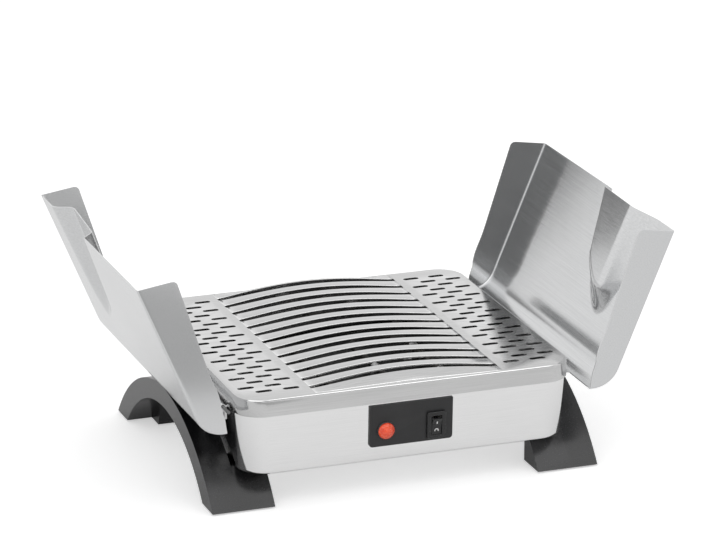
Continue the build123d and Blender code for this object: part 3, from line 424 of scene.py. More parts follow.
heatBlack = plasticMaterial("heatBlack", {
    "dark": (0.010, 0.010, 0.010), "light": (0.018, 0.018, 0.018), "edge": (0.03, 0.03, 0.03),
    "edgeShare": 0.4, "rough": (0.55, 0.70), "speckSize": 1600, "bump": 0.3,
})
padRubber = plasticMaterial("padRubber", {
    "dark": (0.016, 0.016, 0.016), "light": (0.030, 0.030, 0.030), "edge": (0.05, 0.05, 0.05),
    "edgeShare": 0.4, "rough": (0.62, 0.78), "speckSize": 1200, "bump": 0.5,
})
ceramicGlaze = plasticMaterial("ceramicGlaze", {
    "dark": (0.70, 0.67, 0.60), "light": (0.80, 0.78, 0.72), "edge": (0.88, 0.87, 0.84),
    "edgeShare": 0.5, "rough": (0.45, 0.60), "speckSize": 1500, "bump": 0.3,
})
printWhite = plasticMaterial("printWhite", {
    "dark": (0.74, 0.74, 0.73), "light": (0.82, 0.82, 0.81), "edge": (0.85, 0.85, 0.85),
    "edgeShare": 0.2, "rough": (0.40, 0.50), "speckSize": 1500, "bump": 0.1,
})


sleeve = {
    "braid": 1600.0, "thread": (0.80, 0.78, 0.70), "gap": (0.52, 0.49, 0.42), "bump": 0.6, "depth": 0.0002,
    "rough": 0.85,
}


def makeSleeveMaterial():
    # braided heat-proof sleeve on the inner leads
    material, tree, shader = startMaterial("leadSleeve")
    place = addNode(tree, "ShaderNodeTexCoord")
    braid = addNode(tree, "ShaderNodeTexVoronoi")
    setInputs(braid, Scale=sleeve["braid"])
    tree.links.new(place.outputs["Object"], braid.inputs["Vector"])
    weave = braid.outputs["Distance"]
    tree.links.new(mixColors(tree, weave, sleeve["thread"], sleeve["gap"]), shader.inputs["Base Color"])
    tree.links.new(bump(tree, weave, sleeve["bump"], sleeve["depth"]), shader.inputs["Normal"])
    shader.inputs["Roughness"].default_value = sleeve["rough"]
    return material


glass = {
    # rim and rimShadeBlend set the painted shade at the lens's edge
    "middle": (0.90, 0.07, 0.016), "rim": (0.16, 0.004, 0.002), "rimShadeBlend": 0.42,
    "glowDark": (0.55, 0.02, 0.002), "glowLight": (0.95, 0.12, 0.02), "glowPatches": 260.0, "glow": 0.30,
    "facets": 420.0, "facetBump": 0.8, "facetDepth": 0.0012,
    "clear": 0.15, "coat": 0.6, "coatRough": 0.02, "rough": 0.06, "bend": 1.49,
}


def makeLensMaterial():
    # clear orange-red moulding, with painted shade darkening it at its rim, and a faint inner glow
    material, tree, shader = startMaterial("lampLens")
    place = addNode(tree, "ShaderNodeTexCoord")
    patches = addNode(tree, "ShaderNodeTexNoise")
    setInputs(patches, Scale=glass["glowPatches"], Detail=3.0)
    tree.links.new(place.outputs["Object"], patches.inputs["Vector"])
    tone = mapRange(tree, patches.outputs[0], 0, 1, *softSpan)
    # painted shade: the base colour darkens to the rim colour where the dome turns away from the eye
    rim = addNode(tree, "ShaderNodeLayerWeight")
    setInputs(rim, Blend=glass["rimShadeBlend"])
    colors = mixColors(tree, rim.outputs["Facing"], glass["middle"], glass["rim"])
    tree.links.new(colors, shader.inputs["Base Color"])
    glow = mixColors(tree, tone, glass["glowDark"], glass["glowLight"])
    tree.links.new(glow, shader.inputs["Emission Color"])
    facets = addNode(tree, "ShaderNodeTexVoronoi")
    setInputs(facets, Scale=glass["facets"])
    tree.links.new(place.outputs["Object"], facets.inputs["Vector"])
    cuts = bump(tree, facets.outputs["Distance"], glass["facetBump"], glass["facetDepth"])
    tree.links.new(cuts, shader.inputs["Normal"])
    setInputs(shader, Emission_Strength=glass["glow"], Transmission_Weight=glass["clear"], IOR=glass["bend"])
    setInputs(shader, Coat_Weight=glass["coat"], Coat_Roughness=glass["coatRough"], Roughness=glass["rough"])
    return material


leadSleeve = makeSleeveMaterial()
lampLens = makeLensMaterial()
print("materials made")

# bought-in and hidden pieces keep the solids' own shapes
cadLooks = {
    "deck_screws": plainSteel, "right_hinge_leaves": plainSteel, "left_hinge_leaves": plainSteel,
    "right_hinge_rod": blackSteel, "left_hinge_rod": blackSteel, "hinge_rivets": rolledAluminium,
    "leg_screws": plainSteel, "leg_nuts": plainSteel, "foot_pads": padRubber, "heat_reflector": heatBlack,
    "reflector_standoffs": plainSteel, "heating_element": elementSheath, "element_terminals": brassPins,
    "element_bushings": ceramicGlaze, "element_clips": plainSteel, "control_shield": rolledAluminium,
    "thermostat": rolledAluminium, "thermal_cutout": rolledAluminium, "terminal_block": ceramicGlaze,
    "earth_stud": brassPins, "internal_leads": leadSleeve, "cable_gland": panelPlastic,
    "gland_nut": panelPlastic, "pilot_lamp_body": panelPlastic, "pilot_lamp_nut": panelPlastic,
}
for nodeName, material in cadLooks.items():
    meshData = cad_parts[nodeName].data
    meshData.materials.clear()
    meshData.materials.append(material)


# slotted deck, in millimetres
deck = {
    "halfWidth": 149.0, "halfDepth": 141.0, "corner": 24.0, "top": 99.0, "skirt": 15.5, "edge": 2.4,
    "sheet": 0.8, "steps": 49,
    "slotCount": 13, "slotPitch": 20.5, "slotWidth": 11.0, "slotEndWidth": 6.2, "slotHalfLength": 83.6,
    "crown": 7.0, "crownPower": 1.3, "lip": 1.6, "lipRadius": 0.9, "lipStart": 22.0, "lipSteps": 4,
    "landY": 129.0, "landBulge": 0.25, "landSteps": 9, "marginDepth": 9.4,
    "ventRows": 21, "ventPitch": 12.0, "ventLength": 14.5, "ventWidth": 5.2, "ventInner": 98.7,
    "ventColumnPitch": 24.0, "ventStagger": 11.9, "ventSegments": 12, "cutBelow": 3.0, "cutHeight": 5.0,
    "openingFloor": 2.0,
}
sheetEdge = {"width": 0.25, "segments": 2, "angle": 50}


def crownHeight(x):
    # the arch runs out level into the wings
    share = min(abs(x) / deck["slotHalfLength"], 1)
    return deck["top"] + deck["crown"] * (1 - share**2) ** deck["crownPower"]


def ribHalfWidth(x):
    # ribs are slim in the middle and wide at their ends
    share = (x / deck["slotHalfLength"]) ** 2
    slim = (deck["slotPitch"] - deck["slotWidth"]) / 2
    wide = (deck["slotPitch"] - deck["slotEndWidth"]) / 2
    return slim + (wide - slim) * share


def rolledLip():
    # (inset, drop) from the foot of the turned-down lip up round its bend
    radius = deck["lipRadius"]
    angles = spread(math.radians(deck["lipStart"]), math.pi / 2, deck["lipSteps"])
    bend = [(radius * (1 - math.cos(a)), radius * (1 - math.sin(a))) for a in angles]
    return [(0, deck["lip"]), (0, radius)] + bend


def ventTool():
    # an upright bar with round ends for each vent
    tool = bmesh.new()
    reach = (deck["ventLength"] - deck["ventWidth"]) / 2
    turn = Matrix.Rotation(math.pi / deck["ventSegments"], 4, "Z")
    places = [
        (side * (deck["ventInner"] + column * deck["ventColumnPitch"] + row % 2 * deck["ventStagger"]),
         (row - (deck["ventRows"] - 1) / 2) * deck["ventPitch"])
        for row in range(deck["ventRows"]) for column in (0, 1) for side in (-1, 1)
    ]
    for x, y in places:
        made = bmesh.ops.create_circle(
            tool, cap_ends=True, radius=deck["ventWidth"] / 2, segments=deck["ventSegments"], matrix=turn
        )
        for vert in made["verts"]:
            vert.co.x += math.copysign(reach, vert.co.x)
            vert.co += Vector((x, y, deck["top"] - deck["cutBelow"]))
        face = made["verts"][0].link_faces[0]
        lifted = bmesh.ops.extrude_face_region(tool, geom=[face])
        bmesh.ops.translate(tool, vec=(0, 0, deck["cutHeight"]), verts=newVerts(lifted))
    bmesh.ops.recalc_face_normals(tool, faces=tool.faces)
    return tool


def makeDeckPlate():
    top = deck["top"]
    low = top - deck["skirt"]
    bm = roundedBox(deck["halfWidth"], deck["halfDepth"], low, top, deck["corner"])
    roundEdges(bm, edgesAt(bm, 2, top), deck["edge"], 5)
    openAt(bm, low)
    piece = finishPiece("deckPlate", bm, deckSteel, "base", ["deck_plate"])
    giveThickness(piece, deck["sheet"])
    softEdges(piece, **sheetEdge)
    applySteps(piece)
    half, far = deck["slotHalfLength"], deck["landY"] + deck["marginDepth"]
    carve(piece, bar(-half, half, -far, far, low + deck["openingFloor"], top + deck["cutHeight"]))
    carve(piece, ventTool())
    return piece


def makeDeckLand():
    # raised strips in front of the first slot and behind the last, let down softly to the rim
    xs = spread(-deck["slotHalfLength"], deck["slotHalfLength"], deck["steps"])
    outerRib = deck["slotCount"] * deck["slotPitch"] / 2
    rolled = rolledLip()
    slopes = spread(0, 1, deck["landSteps"] + 1)[1:]

    def landPoint(i, j):
        x = xs[i]
        edge = outerRib - ribHalfWidth(x)
        if j < len(rolled):
            inset, drop = rolled[j]
            return Vector((x, -(edge + inset), crownHeight(x) - drop))
        share = slopes[j - len(rolled)]
        rise = crownHeight(x) - deck["top"]
        start = edge + deck["lipRadius"]
        y = start + (deck["landY"] + deck["marginDepth"] - start) * share
        return Vector((x, -y, deck["top"] + rise * (1 - share) * (1 + deck["landBulge"] * share)))

    bm = gridSheet(len(xs), len(rolled) + len(slopes), landPoint)
    faceTowards(bm, 0, 0, 1)
    back = newVerts(bmesh.ops.duplicate(bm, geom=everything(bm)))
    bmesh.ops.rotate(bm, cent=(0, 0, 0), matrix=Matrix.Rotation(math.pi, 3, "Z"), verts=back)
    piece = finishPiece("deckLand", bm, deckSteel, "base", [], 60)
    giveThickness(piece, deck["sheet"])
    return piece


def makeRibs():
    xs = spread(-deck["slotHalfLength"], deck["slotHalfLength"], deck["steps"])
    side = rolledLip()
    across = [(-1, *point) for point in side] + [(1, *point) for point in reversed(side)]

    def ribPoint(i, j):
        direction, inset, drop = across[j]
        x = xs[i]
        return Vector((x, direction * (ribHalfWidth(x) - inset), crownHeight(x) - drop))

    bm = gridSheet(len(xs), len(across), ribPoint)
    faceTowards(bm, 0, 0, 1)
    first = everything(bm)
    count = deck["slotCount"] - 1
    for index in range(1, count):
        moved = newVerts(bmesh.ops.duplicate(bm, geom=first))
        bmesh.ops.translate(bm, vec=(0, index * deck["slotPitch"], 0), verts=moved)
    bmesh.ops.translate(bm, vec=(0, -(count - 1) / 2 * deck["slotPitch"], 0), verts=bm.verts)
    piece = finishPiece("deckRibs", bm, deckSteel, "base", ["deck_ribs"], 60)
    giveThickness(piece, deck["sheet"])
    return piece


makeDeckPlate()
makeDeckLand()
makeRibs()
print("deck made")

# drawn tub
tub = {
    "bottom": 31.0, "top": 94.5, "draft": 2.4, "halfWidth": 147.9, "halfDepth": 139.9, "floorCorner": 25.0,
    "corner": 22.9, "edge": 3.0, "sheet": 0.8, "controlZ": 58.5, "glandX": 95.0, "glandZ": 47.0,
    "glandHole": 6.1, "panelSeat": 3.2, "cutHalf": 3.0, "holeHalf": 4.0,
}
wallSlope = tub["draft"] / (tub["top"] - tub["bottom"])
wallTilt = math.atan(wallSlope)


def wallPlace(side, z):
    # origin on the sloped front (-1) or back (1) wall at height z
    y = tub["halfDepth"] - (tub["top"] - z) * wallSlope
    return Matrix.Translation((0, side * y, z)) @ Matrix.Rotation(-side * wallTilt, 4, "X")


frontPlace = wallPlace(-1, tub["controlZ"])


def makeTub():
    halfX, halfY, corner = tub["halfWidth"], tub["halfDepth"], tub["corner"]
    bm = roundedBox(halfX, halfY, tub["bottom"], tub["top"], corner)
    narrow = tub["draft"] + tub["floorCorner"]
    for vert in (v for v in bm.verts if v.co.z < tub["bottom"] + level):
        x, y = abs(vert.co.x), abs(vert.co.y)
        angle = math.atan2(max(y - (halfY - corner), 0), max(x - (halfX - corner), 0))
        x = halfX - narrow + tub["floorCorner"] * math.cos(angle)
        y = halfY - narrow + tub["floorCorner"] * math.sin(angle)
        vert.co.x = math.copysign(x, vert.co.x)
        vert.co.y = math.copysign(y, vert.co.y)
    roundEdges(bm, edgesAt(bm, 2, tub["bottom"]), tub["edge"], 5)
    openAt(bm, tub["top"])
    piece = finishPiece("baseTub", bm, tubSteel, "base", ["base_tub"])
    giveThickness(piece, tub["sheet"])
    applySteps(piece)
    seat, deep = tub["panelSeat"], tub["cutHalf"]
    window = bar(
        panel["x0"] + seat, panel["x1"] - seat, -deep, deep, panel["low"] + seat, panel["high"] - seat
    )
    carve(piece, setOnFront(window))
    glandPlace = wallPlace(1, tub["glandZ"]) @ sideways(tub["glandX"])
    carve(piece, pin(tub["glandHole"], -tub["holeHalf"], tub["holeHalf"], glandPlace))
    softEdges(piece, **sheetEdge)
    return piece


# control panel and pilot lamp, measured on the tub's sloped front
panel = {
    "x0": -36.6, "x1": 38.0, "low": -13.9, "high": 23.1, "thickness": 1.8, "corner": 3.0,
    "rim": 1.1, "sink": 0.35, "edge": 0.3, "switchHole": (13.2, 19.6), "lampX": -21.7, "lampHole": 5.6,
    "cutFront": 6.0, "cutBack": 4.0,
    "lensRadius": 7.25, "lensRim": 1.2, "lensDome": 4.0, "lensBack": 5.0, "domeSteps": 9, "lensSteps": 40,
    "seatInside": 0.1, "seatWidth": 0.9, "seatShoulder": 0.5, "seatLow": 0.7, "seatHigh": 1.2,
    "seatSunk": 0.3,
}
# rocker switch: each pair is a width and a height
switch = {
    "x": 23.0, "frame": (17.0, 24.0), "frameDepth": 2.0, "frameCorner": 2.0, "frameEdge": 0.8,
    "body": (13.0, 19.4), "bodyLength": 15.0, "bodySunk": 0.3, "bodyEdge": 0.25,
    "tab": (4.8, 0.8), "tabHeights": (-5.5, 0, 5.5), "tabLength": 7.0,
    "window": (9.2, 17.0), "windowFront": 6.0, "windowDepth": 8.0,
    "rockerWidth": 8.6, "rockerHalf": 7.4, "rockerFace": 4.3, "rockerTilt": 10.0, "rockerEdge": 0.35,
    "rows": 17, "columns": 7, "hollow": 0.5, "backDepth": 1.4, "backSlope": 0.4, "backShare": 0.86,
    "pinRadius": 1.0, "pinEnd": 1.8, "pivotDepth": 4.4,
    "onWidth": 0.9, "onLow": 2.3, "onHigh": 5.9, "onMiddle": 4.0, "onProud": 0.12, "onSunk": 0.5,
    "offMiddle": -4.2, "offInner": 1.1, "offOuter": 1.95, "offHeight": 0.6, "offProud": 0.15,
}


def setOnFront(bm, place=None):
    bmesh.ops.transform(bm, matrix=frontPlace @ (place or Matrix.Identity(4)), verts=bm.verts)
    return bm


def switchBar(size, y0, y1, z=0.0, bm=None):
    # a block on the switch's middle line
    halfW, halfH = size[0] / 2, size[1] / 2
    return bar(switch["x"] - halfW, switch["x"] + halfW, y0, y1, z - halfH, z + halfH, bm)


def makePanel():
    bm = bar(panel["x0"], panel["x1"], -panel["thickness"], 0, panel["low"], panel["high"])
    lower = [e for e in bm.edges if runsAlong(e, 1) and e.verts[0].co.z < 0]
    roundEdges(bm, lower, panel["corner"], 6)
    face = [f for f in bm.faces if f.normal.y < -0.9][0]
    bmesh.ops.inset_region(bm, faces=[face], thickness=panel["rim"], depth=0)
    bmesh.ops.translate(bm, vec=(0, panel["sink"], 0), verts=face.verts)
    piece = finishPiece(
        "controlPanel", setOnFront(bm), panelPlastic, "base", ["control_panel"]
    )
    front, back = panel["cutFront"], panel["cutBack"]
    carve(piece, setOnFront(switchBar(panel["switchHole"], -front, back)))
    carve(piece, setOnFront(pin(panel["lampHole"], -back, front, forwards(panel["lampX"]))))
    softEdges(piece, panel["edge"])
    return piece


def makeLens():
    radius, rim, dome = panel["lensRadius"], panel["lensRim"], panel["lensDome"]
    ball = (radius**2 + dome**2) / (2 * dome)
    angles = spread(math.asin(radius / ball), 0, panel["domeSteps"])[1:]
    profile = [(panel["lensBack"], 0), (radius, 0), (radius, rim)]
    profile += [(ball * math.sin(a), rim + dome - ball + ball * math.cos(a)) for a in angles]
    bm = lathe(profile, forwards(panel["lampX"], -panel["thickness"]), panel["lensSteps"])
    return finishPiece("pilotLens", setOnFront(bm), lampLens, "base", ["pilot_lamp_lens"], 50)


def makeLensSeat():
    # thin dark ring that seats the lens on the panel
    radius = panel["lensRadius"]
    inside, outside = radius - panel["seatInside"], radius + panel["seatWidth"]
    low, high = panel["seatLow"], panel["seatHigh"]
    shoulder = (radius + panel["seatShoulder"], high)
    profile = [(inside, 0), (outside, 0), (outside, low), shoulder, (inside, high), (inside, 0)]
    place = forwards(panel["lampX"], -panel["thickness"] + panel["seatSunk"])
    bm = lathe(profile, place, panel["lensSteps"])
    return finishPiece("lensSeat", setOnFront(bm), switchPlastic, "base", [], 30)


def makeSwitchHousing():
    face = -panel["thickness"]
    front, rear = face - switch["frameDepth"], face + switch["bodyLength"]
    bm = switchBar(switch["frame"], front, face)
    roundEdges(bm, [e for e in bm.edges if runsAlong(e, 1)], switch["frameCorner"], 5)
    roundEdges(bm, edgesAt(bm, 1, front), switch["frameEdge"], 3)
    switchBar(switch["body"], face - switch["bodySunk"], rear, 0, bm)
    for height in switch["tabHeights"]:
        switchBar(switch["tab"], rear, rear + switch["tabLength"], height, bm)
    piece = finishPiece(
        "switchHousing", setOnFront(bm), switchPlastic, "base", ["switch_housing"]
    )
    window = switchBar(switch["window"], face - switch["windowFront"], face + switch["windowDepth"])
    carve(piece, setOnFront(window))
    softEdges(piece, switch["bodyEdge"])
    return piece


def rockerDepth(z):
    # two shallow hollows that meet over the pin
    half = switch["rockerHalf"]
    share = abs(z) / half
    rise = half * math.tan(math.radians(switch["rockerTilt"]))
    return -switch["rockerFace"] - rise * share + switch["hollow"] * math.sin(math.pi * share)


def rockerPlace():
    pivot = switch["pivotDepth"] - panel["thickness"] - switch["frameDepth"]
    tilt = Matrix.Rotation(math.radians(switch["rockerTilt"]), 4, "X")
    return Matrix.Translation((switch["x"], pivot, 0)) @ tilt


def makeRocker():
    width = switch["rockerWidth"] / 2
    heights = spread(-switch["rockerHalf"], switch["rockerHalf"], switch["rows"])
    columns = spread(-width, width, switch["columns"])

    def facePoint(i, j):
        return Vector((columns[i], rockerDepth(heights[j]), heights[j]))

    bm = gridSheet(len(columns), len(heights), facePoint)
    faceTowards(bm, 0, -1, 0)
    made = bmesh.ops.extrude_face_region(bm, geom=list(bm.faces), use_keep_orig=True)
    for vert in newVerts(made):
        vert.co.y = switch["backDepth"] - abs(vert.co.z) * switch["backSlope"]
        vert.co.z *= switch["backShare"]
    bmesh.ops.recalc_face_normals(bm, faces=bm.faces)
    reach = width + switch["pinEnd"]
    pin(switch["pinRadius"], -reach, reach, Matrix.Rotation(math.pi / 2, 4, "Y"), 16, bm)
    piece = finishPiece(
        "switchRocker", setOnFront(bm, rockerPlace()), switchPlastic, "rocker_body", ["switch_rocker"],
    )
    softEdges(piece, switch["rockerEdge"], 3, 50)
    return piece


def makeRockerMarks():
    # the stroke for on and the ring for off
    half, depth = switch["onWidth"] / 2, rockerDepth(switch["onMiddle"])
    front, back = depth - switch["onProud"], depth + switch["onSunk"]
    marks = bar(-half, half, front, back, switch["onLow"], switch["onHigh"])
    inner, outer, high = switch["offInner"], switch["offOuter"], switch["offHeight"]
    middle = switch["offMiddle"]
    ring = [(inner, 0), (outer, 0), (outer, high), (inner, high), (inner, 0)]
    lathe(ring, forwards(0, rockerDepth(middle) + high - switch["offProud"], middle), 28, marks)
    marks = setOnFront(marks, rockerPlace())
    return finishPiece("rockerMarks", marks, printWhite, "rocker_body", [], 30)


makeTub()
print("tub made")
makePanel()
makeLens()
makeLensSeat()
makeSwitchHousing()
makeRocker()
makeRockerMarks()
print("controls made")


# arched legs
leg = {
    "outerX": 173.5, "stripX": 148.0, "innerX": 118.5, "toeY": 137.0, "heelY": 109.0, "crown": 68.5,
    "soffit": 51.0, "padHeight": 1.5, "footHeel": 88.0, "footTop": 78.0, "heelX": 136.5, "slantY": 104.0,
    "tubBottom": 31.0, "toeSteps": 9, "archSteps": 41, "overlap": 3.0, "hair": 0.01,
    "restHalf": 10.0, "restWidth": 13.0, "restInset": 2.5, "restSink": 5.0, "restTop": 72.95, "edge": 2.0,
}


def archCircle(toeY, crownZ):
    radius = (toeY**2 + crownZ**2) / (2 * crownZ)
    return radius, crownZ - radius


outerArch = archCircle(leg["toeY"], leg["crown"])
innerArch = archCircle(leg["heelY"], leg["soffit"])


def angleAt(arch, z):
    radius, middle = arch
    return math.asin((z - middle) / radius)


def archPoint(arch, angle):
    radius, middle = arch
    return radius * math.cos(angle), middle + radius * math.sin(angle)


toeFoot, toeTop = angleAt(outerArch, leg["padHeight"]), angleAt(outerArch, leg["tubBottom"])
toeAngles = spread(toeFoot, toeTop, leg["toeSteps"])


def closeTo(bm, x):
    # makes a sheet a block that reaches to x
    made = bmesh.ops.extrude_face_region(bm, geom=list(bm.faces), use_keep_orig=True)
    for vert in newVerts(made):
        vert.co.x = x
    bmesh.ops.recalc_face_normals(bm, faces=bm.faces)
    return bm


def archStrip():
    angles = toeAngles + spread(toeTop, math.pi - toeTop, leg["archSteps"])[1:-1]
    angles += [math.pi - a for a in reversed(toeAngles)]
    foot = angleAt(innerArch, leg["padHeight"])
    innerAngles = spread(foot, math.pi - foot, len(angles))

    def stripPoint(i, j):
        y, z = archPoint(outerArch, angles[j]) if i else archPoint(innerArch, innerAngles[j])
        return Vector((leg["outerX"], y, z))

    return closeTo(gridSheet(2, len(angles), stripPoint), leg["stripX"])


def footBlock(side):
    def footPoint(i, j):
        # the heel, its corner, the end of the slant, and the toe on the outer arch
        toe, z = archPoint(outerArch, toeAngles[j])
        share = (z - leg["padHeight"]) / (leg["tubBottom"] - leg["padHeight"])
        heel = leg["footHeel"] + (leg["footTop"] - leg["footHeel"]) * share
        y = (heel - leg["hair"], leg["footHeel"], leg["slantY"], toe)[i]
        x = leg["heelX"] if i < 2 else leg["innerX"]
        return Vector((x, side * y, z))

    return closeTo(gridSheet(4, len(toeAngles), footPoint), leg["stripX"] + leg["overlap"])


def makeLeg(name, node, turn):
    piece = finishPiece(name, archStrip(), legPlastic, "base", [node])
    for side in (-1, 1):
        carve(piece, footBlock(side), "UNION")
    # low block on the crown that carries the tub
    restOuter, half = leg["outerX"] - leg["restInset"], leg["restHalf"]
    restLow = leg["soffit"] + leg["restSink"]
    carve(piece, bar(restOuter - leg["restWidth"], restOuter, -half, half, restLow, leg["restTop"]), "UNION")
    piece.data.transform(Matrix.Rotation(turn, 4, "Z"))
    softEdges(piece, leg["edge"], 4, 32)
    return piece


makeLeg("rightLeg", "right_leg", 0)
makeLeg("leftLeg", "left_leg", math.pi)
print("legs made")


# folded hoods: drawn on the right, turned half round for the left
hood = {
    "hingeX": 151.0, "hingeZ": 81.0, "curl": 25.0, "curlLean": 49.6, "lean": 22.7, "length": 127.5,
    "halfDepth": 143.0, "sheet": 0.8, "knuckle": 2.35, "bore": 1.55, "knuckleRoom": 0.8,
    "wall": 34.0, "wallRise": 8.5, "wallCorner": 4.0, "footX": 11.5, "footZ": 1.5, "wallStop": 262.0,
    "fold": 3.0, "foldRoom": 0.6, "foldShare": 0.6, "footBulge": 1.6, "bulgeAt": 12.0, "bulgeSpread": 14.0,
    "curlEndGap": 45.0, "leafStart": 58.0, "leafEnd": 92.0, "knuckleLength": 20.0, "gap": 0.3,
    "recessInner": 10.0, "recessOuter": 109.0, "lowInner": 42.0, "lowOuter": 96.0, "recessLength": 101.0,
    "depthInner": 8.5, "depthOuter": 14.5, "depthLow": 8.0, "innerSlope": 4.0, "outerSlope": 32.0,
    "footSlope": 26.0, "footRound": 24.0, "recessMargin": 4.0, "plainFront": 1.0, "plainBack": 8.0,
    "curlRows": 6, "bendRows": 14, "footRows": 8, "recessRows": 48, "cornerRows": 8, "wallColumns": 6,
    "fineFront": 6.0, "fineBack": 3.0, "fineStep": 0.7, "recessStep": 3.0, "plainStep": 7.0,
    "sheetEdge": 0.2,
}
curlReach = hood["curl"] - hood["knuckle"]
curlX = hood["hingeX"] + curlReach * math.cos(math.radians(hood["curlLean"]))
curlZ = hood["hingeZ"] + curlReach * math.sin(math.radians(hood["curlLean"]))
leanAngle = math.radians(hood["lean"])
wallRise = math.radians(hood["wallRise"])
gates = (hood["leafStart"] - hood["gap"], hood["leafEnd"] + hood["gap"])
curlEnd = hood["halfDepth"] - hood["curlEndGap"]
knuckles = ((gates[0] - hood["knuckleLength"], gates[0]), (gates[1], curlEnd))


def recessBorders(down):
    share = min(max(down / hood["recessLength"], 0), 1)
    inner = hood["recessInner"] + (hood["lowInner"] - hood["recessInner"]) * share
    outer = hood["recessOuter"] + (hood["lowOuter"] - hood["recessOuter"]) * share
    return share, inner, outer


def recessDepth(down, y):
    # how far the sheet is pressed inwards: a crisp inner side, a soft outer side and a spoon-shaped foot
    share, inner, outer = recessBorders(down)
    across = min(max((-y - inner) / (outer - inner), 0), 1)
    deep = hood["depthInner"] + (hood["depthOuter"] - hood["depthInner"]) * across
    deep += (hood["depthLow"] - deep) * share
    walls = smoothStep((-y - inner) / hood["innerSlope"]) * smoothStep((outer + y) / hood["outerSlope"])
    end = hood["recessLength"] - hood["footRound"] * (2 * across - 1) ** 2
    return deep * walls * smoothStep((end - down) / hood["footSlope"])


def slantedY(row, y):
    # columns lean with the recess's borders, and stand upright again towards the curl
    kind, value = row
    if kind == "arc":
        return y
    down = hood["length"] - value
    inner, outer = recessBorders(down)[1:]
    if down > hood["recessLength"]:
        back = (hood["length"] - down) / (hood["length"] - hood["recessLength"])
        inner = hood["recessInner"] + (inner - hood["recessInner"]) * back
        outer = hood["recessOuter"] + (outer - hood["recessOuter"]) * back
    front = -hood["halfDepth"] + hood["fold"] + hood["plainFront"]
    rear = hood["halfDepth"] - hood["plainBack"]
    ends = (front, -hood["recessOuter"], -hood["recessInner"], rear)
    moved = (front, -outer, -inner, rear)
    for low, high, newLow, newHigh in zip(ends, ends[1:], moved, moved[1:]):
        if low <= y <= high:
            return newLow + (newHigh - newLow) * (y - low) / (high - low)
    return y


def sidePoint(row):
    # outer face of the sheet at a profile row: ("arc", angle) or ("panel", distance above the curl)
    kind, value = row
    if kind == "arc":
        angle = math.radians(value)
        return curlX + hood["curl"] * math.cos(angle), curlZ + hood["curl"] * math.sin(angle)
    x = curlX + hood["curl"] * math.cos(leanAngle) + value * math.sin(leanAngle)
    z = curlZ - hood["curl"] * math.sin(leanAngle) + value * math.cos(leanAngle)
    return x, z


def wallReach(row):
    # direction and width of the end wall at a profile row
    x, z = sidePoint(row)
    kind, value = row
    topX, topZ = sidePoint(("panel", hood["length"]))
    footX, footZ = hood["hingeX"] + hood["footX"], hood["hingeZ"] + hood["footZ"]
    if kind == "arc":
        direction = Vector((curlX - x, curlZ - z)).normalized()
    else:
        angle = leanAngle + (wallRise - leanAngle) * value / hood["length"]
        direction = Vector((-math.cos(angle), math.sin(angle)))
    line = Vector((
        topX - hood["wall"] * math.cos(wallRise) - footX, topZ + hood["wall"] * math.sin(wallRise) - footZ
    ))
    offset = Vector((footX - x, footZ - z))
    width = (offset.x * line.y - offset.y * line.x) / (direction.x * line.y - direction.y * line.x)
    if kind == "panel":
        width += hood["footBulge"] * math.exp(-((value - hood["bulgeAt"]) / hood["bulgeSpread"]) ** 2)
        left = hood["wallCorner"] - (hood["length"] - value)
        if left > 0:
            width -= hood["wallCorner"] - math.sqrt(max(hood["wallCorner"] ** 2 - left**2, 0))
    return direction, width


def hoodRows():
    # from the rod round the curl, then up the panel, closer over the recess and the top corner
    arcs = spread(180 + hood["curlLean"], hood["wallStop"], hood["curlRows"] + 1)
    arcs += spread(hood["wallStop"], 360 - hood["lean"], hood["bendRows"] + 1)[1:]
    foot = hood["length"] - hood["recessLength"] - hood["recessMargin"]
    corner = hood["length"] - hood["wallCorner"]
    heights = spread(0, foot, hood["footRows"])[1:-1] + spread(foot, corner, hood["recessRows"])
    heights += spread(corner, hood["length"], hood["cornerRows"])[1:]
    return [("arc", a) for a in arcs] + [("panel", height) for height in heights]


def hoodColumns():
    # a column at every cut, and fine ones at the recess's crisp side
    deep, crisp = hood["halfDepth"], -hood["recessInner"]
    cuts = [deep, deep - hood["fold"] - hood["sheet"], curlEnd, gates[1], gates[0], knuckles[0][0]]
    fineStart, fineStop = crisp - hood["fineFront"], crisp + hood["fineBack"]
    marks = sorted(cuts + [-cut for cut in cuts] + [fineStart, crisp, fineStop])
    ys = [marks[0]]
    for start, stop in zip(marks, marks[1:]):
        step = hood["recessStep"] if stop < 0 else hood["plainStep"]
        if fineStart <= start < fineStop:
            step = hood["fineStep"]
        ys += spread(start, stop, max(1, math.ceil((stop - start) / step)) + 1)[1:]
    return ys


def hoodSheet():
    # the panel with its curl, and both end walls, joined along the folds
    rows, ys = hoodRows(), hoodColumns()
    wallRows = rows[hood["curlRows"]:]

    def sheetPoint(i, j):
        kind, value = rows[i]
        x, z = sidePoint(rows[i])
        y = slantedY(rows[i], ys[j])
        if kind == "panel":
            press = recessDepth(hood["length"] - value, y)
            x -= press * math.cos(leanAngle)
            z += press * math.sin(leanAngle)
        return Vector((x, y, z))

    bm = gridSheet(len(rows), len(ys), sheetPoint)
    for side in (-1, 1):

        def wallPoint(i, j):
            direction, width = wallReach(wallRows[i])
            x, z = sidePoint(wallRows[i])
            first = min(hood["fold"] + hood["foldRoom"], hood["foldShare"] * width)
            reach = first + (width - first) * (j - 1) / (hood["wallColumns"] - 2) if j else 0
            return Vector((x + direction.x * reach, side * hood["halfDepth"], z + direction.y * reach))

        gridSheet(len(wallRows), hood["wallColumns"], wallPoint, bm)
    bmesh.ops.remove_doubles(bm, verts=bm.verts, dist=level)
    return bm


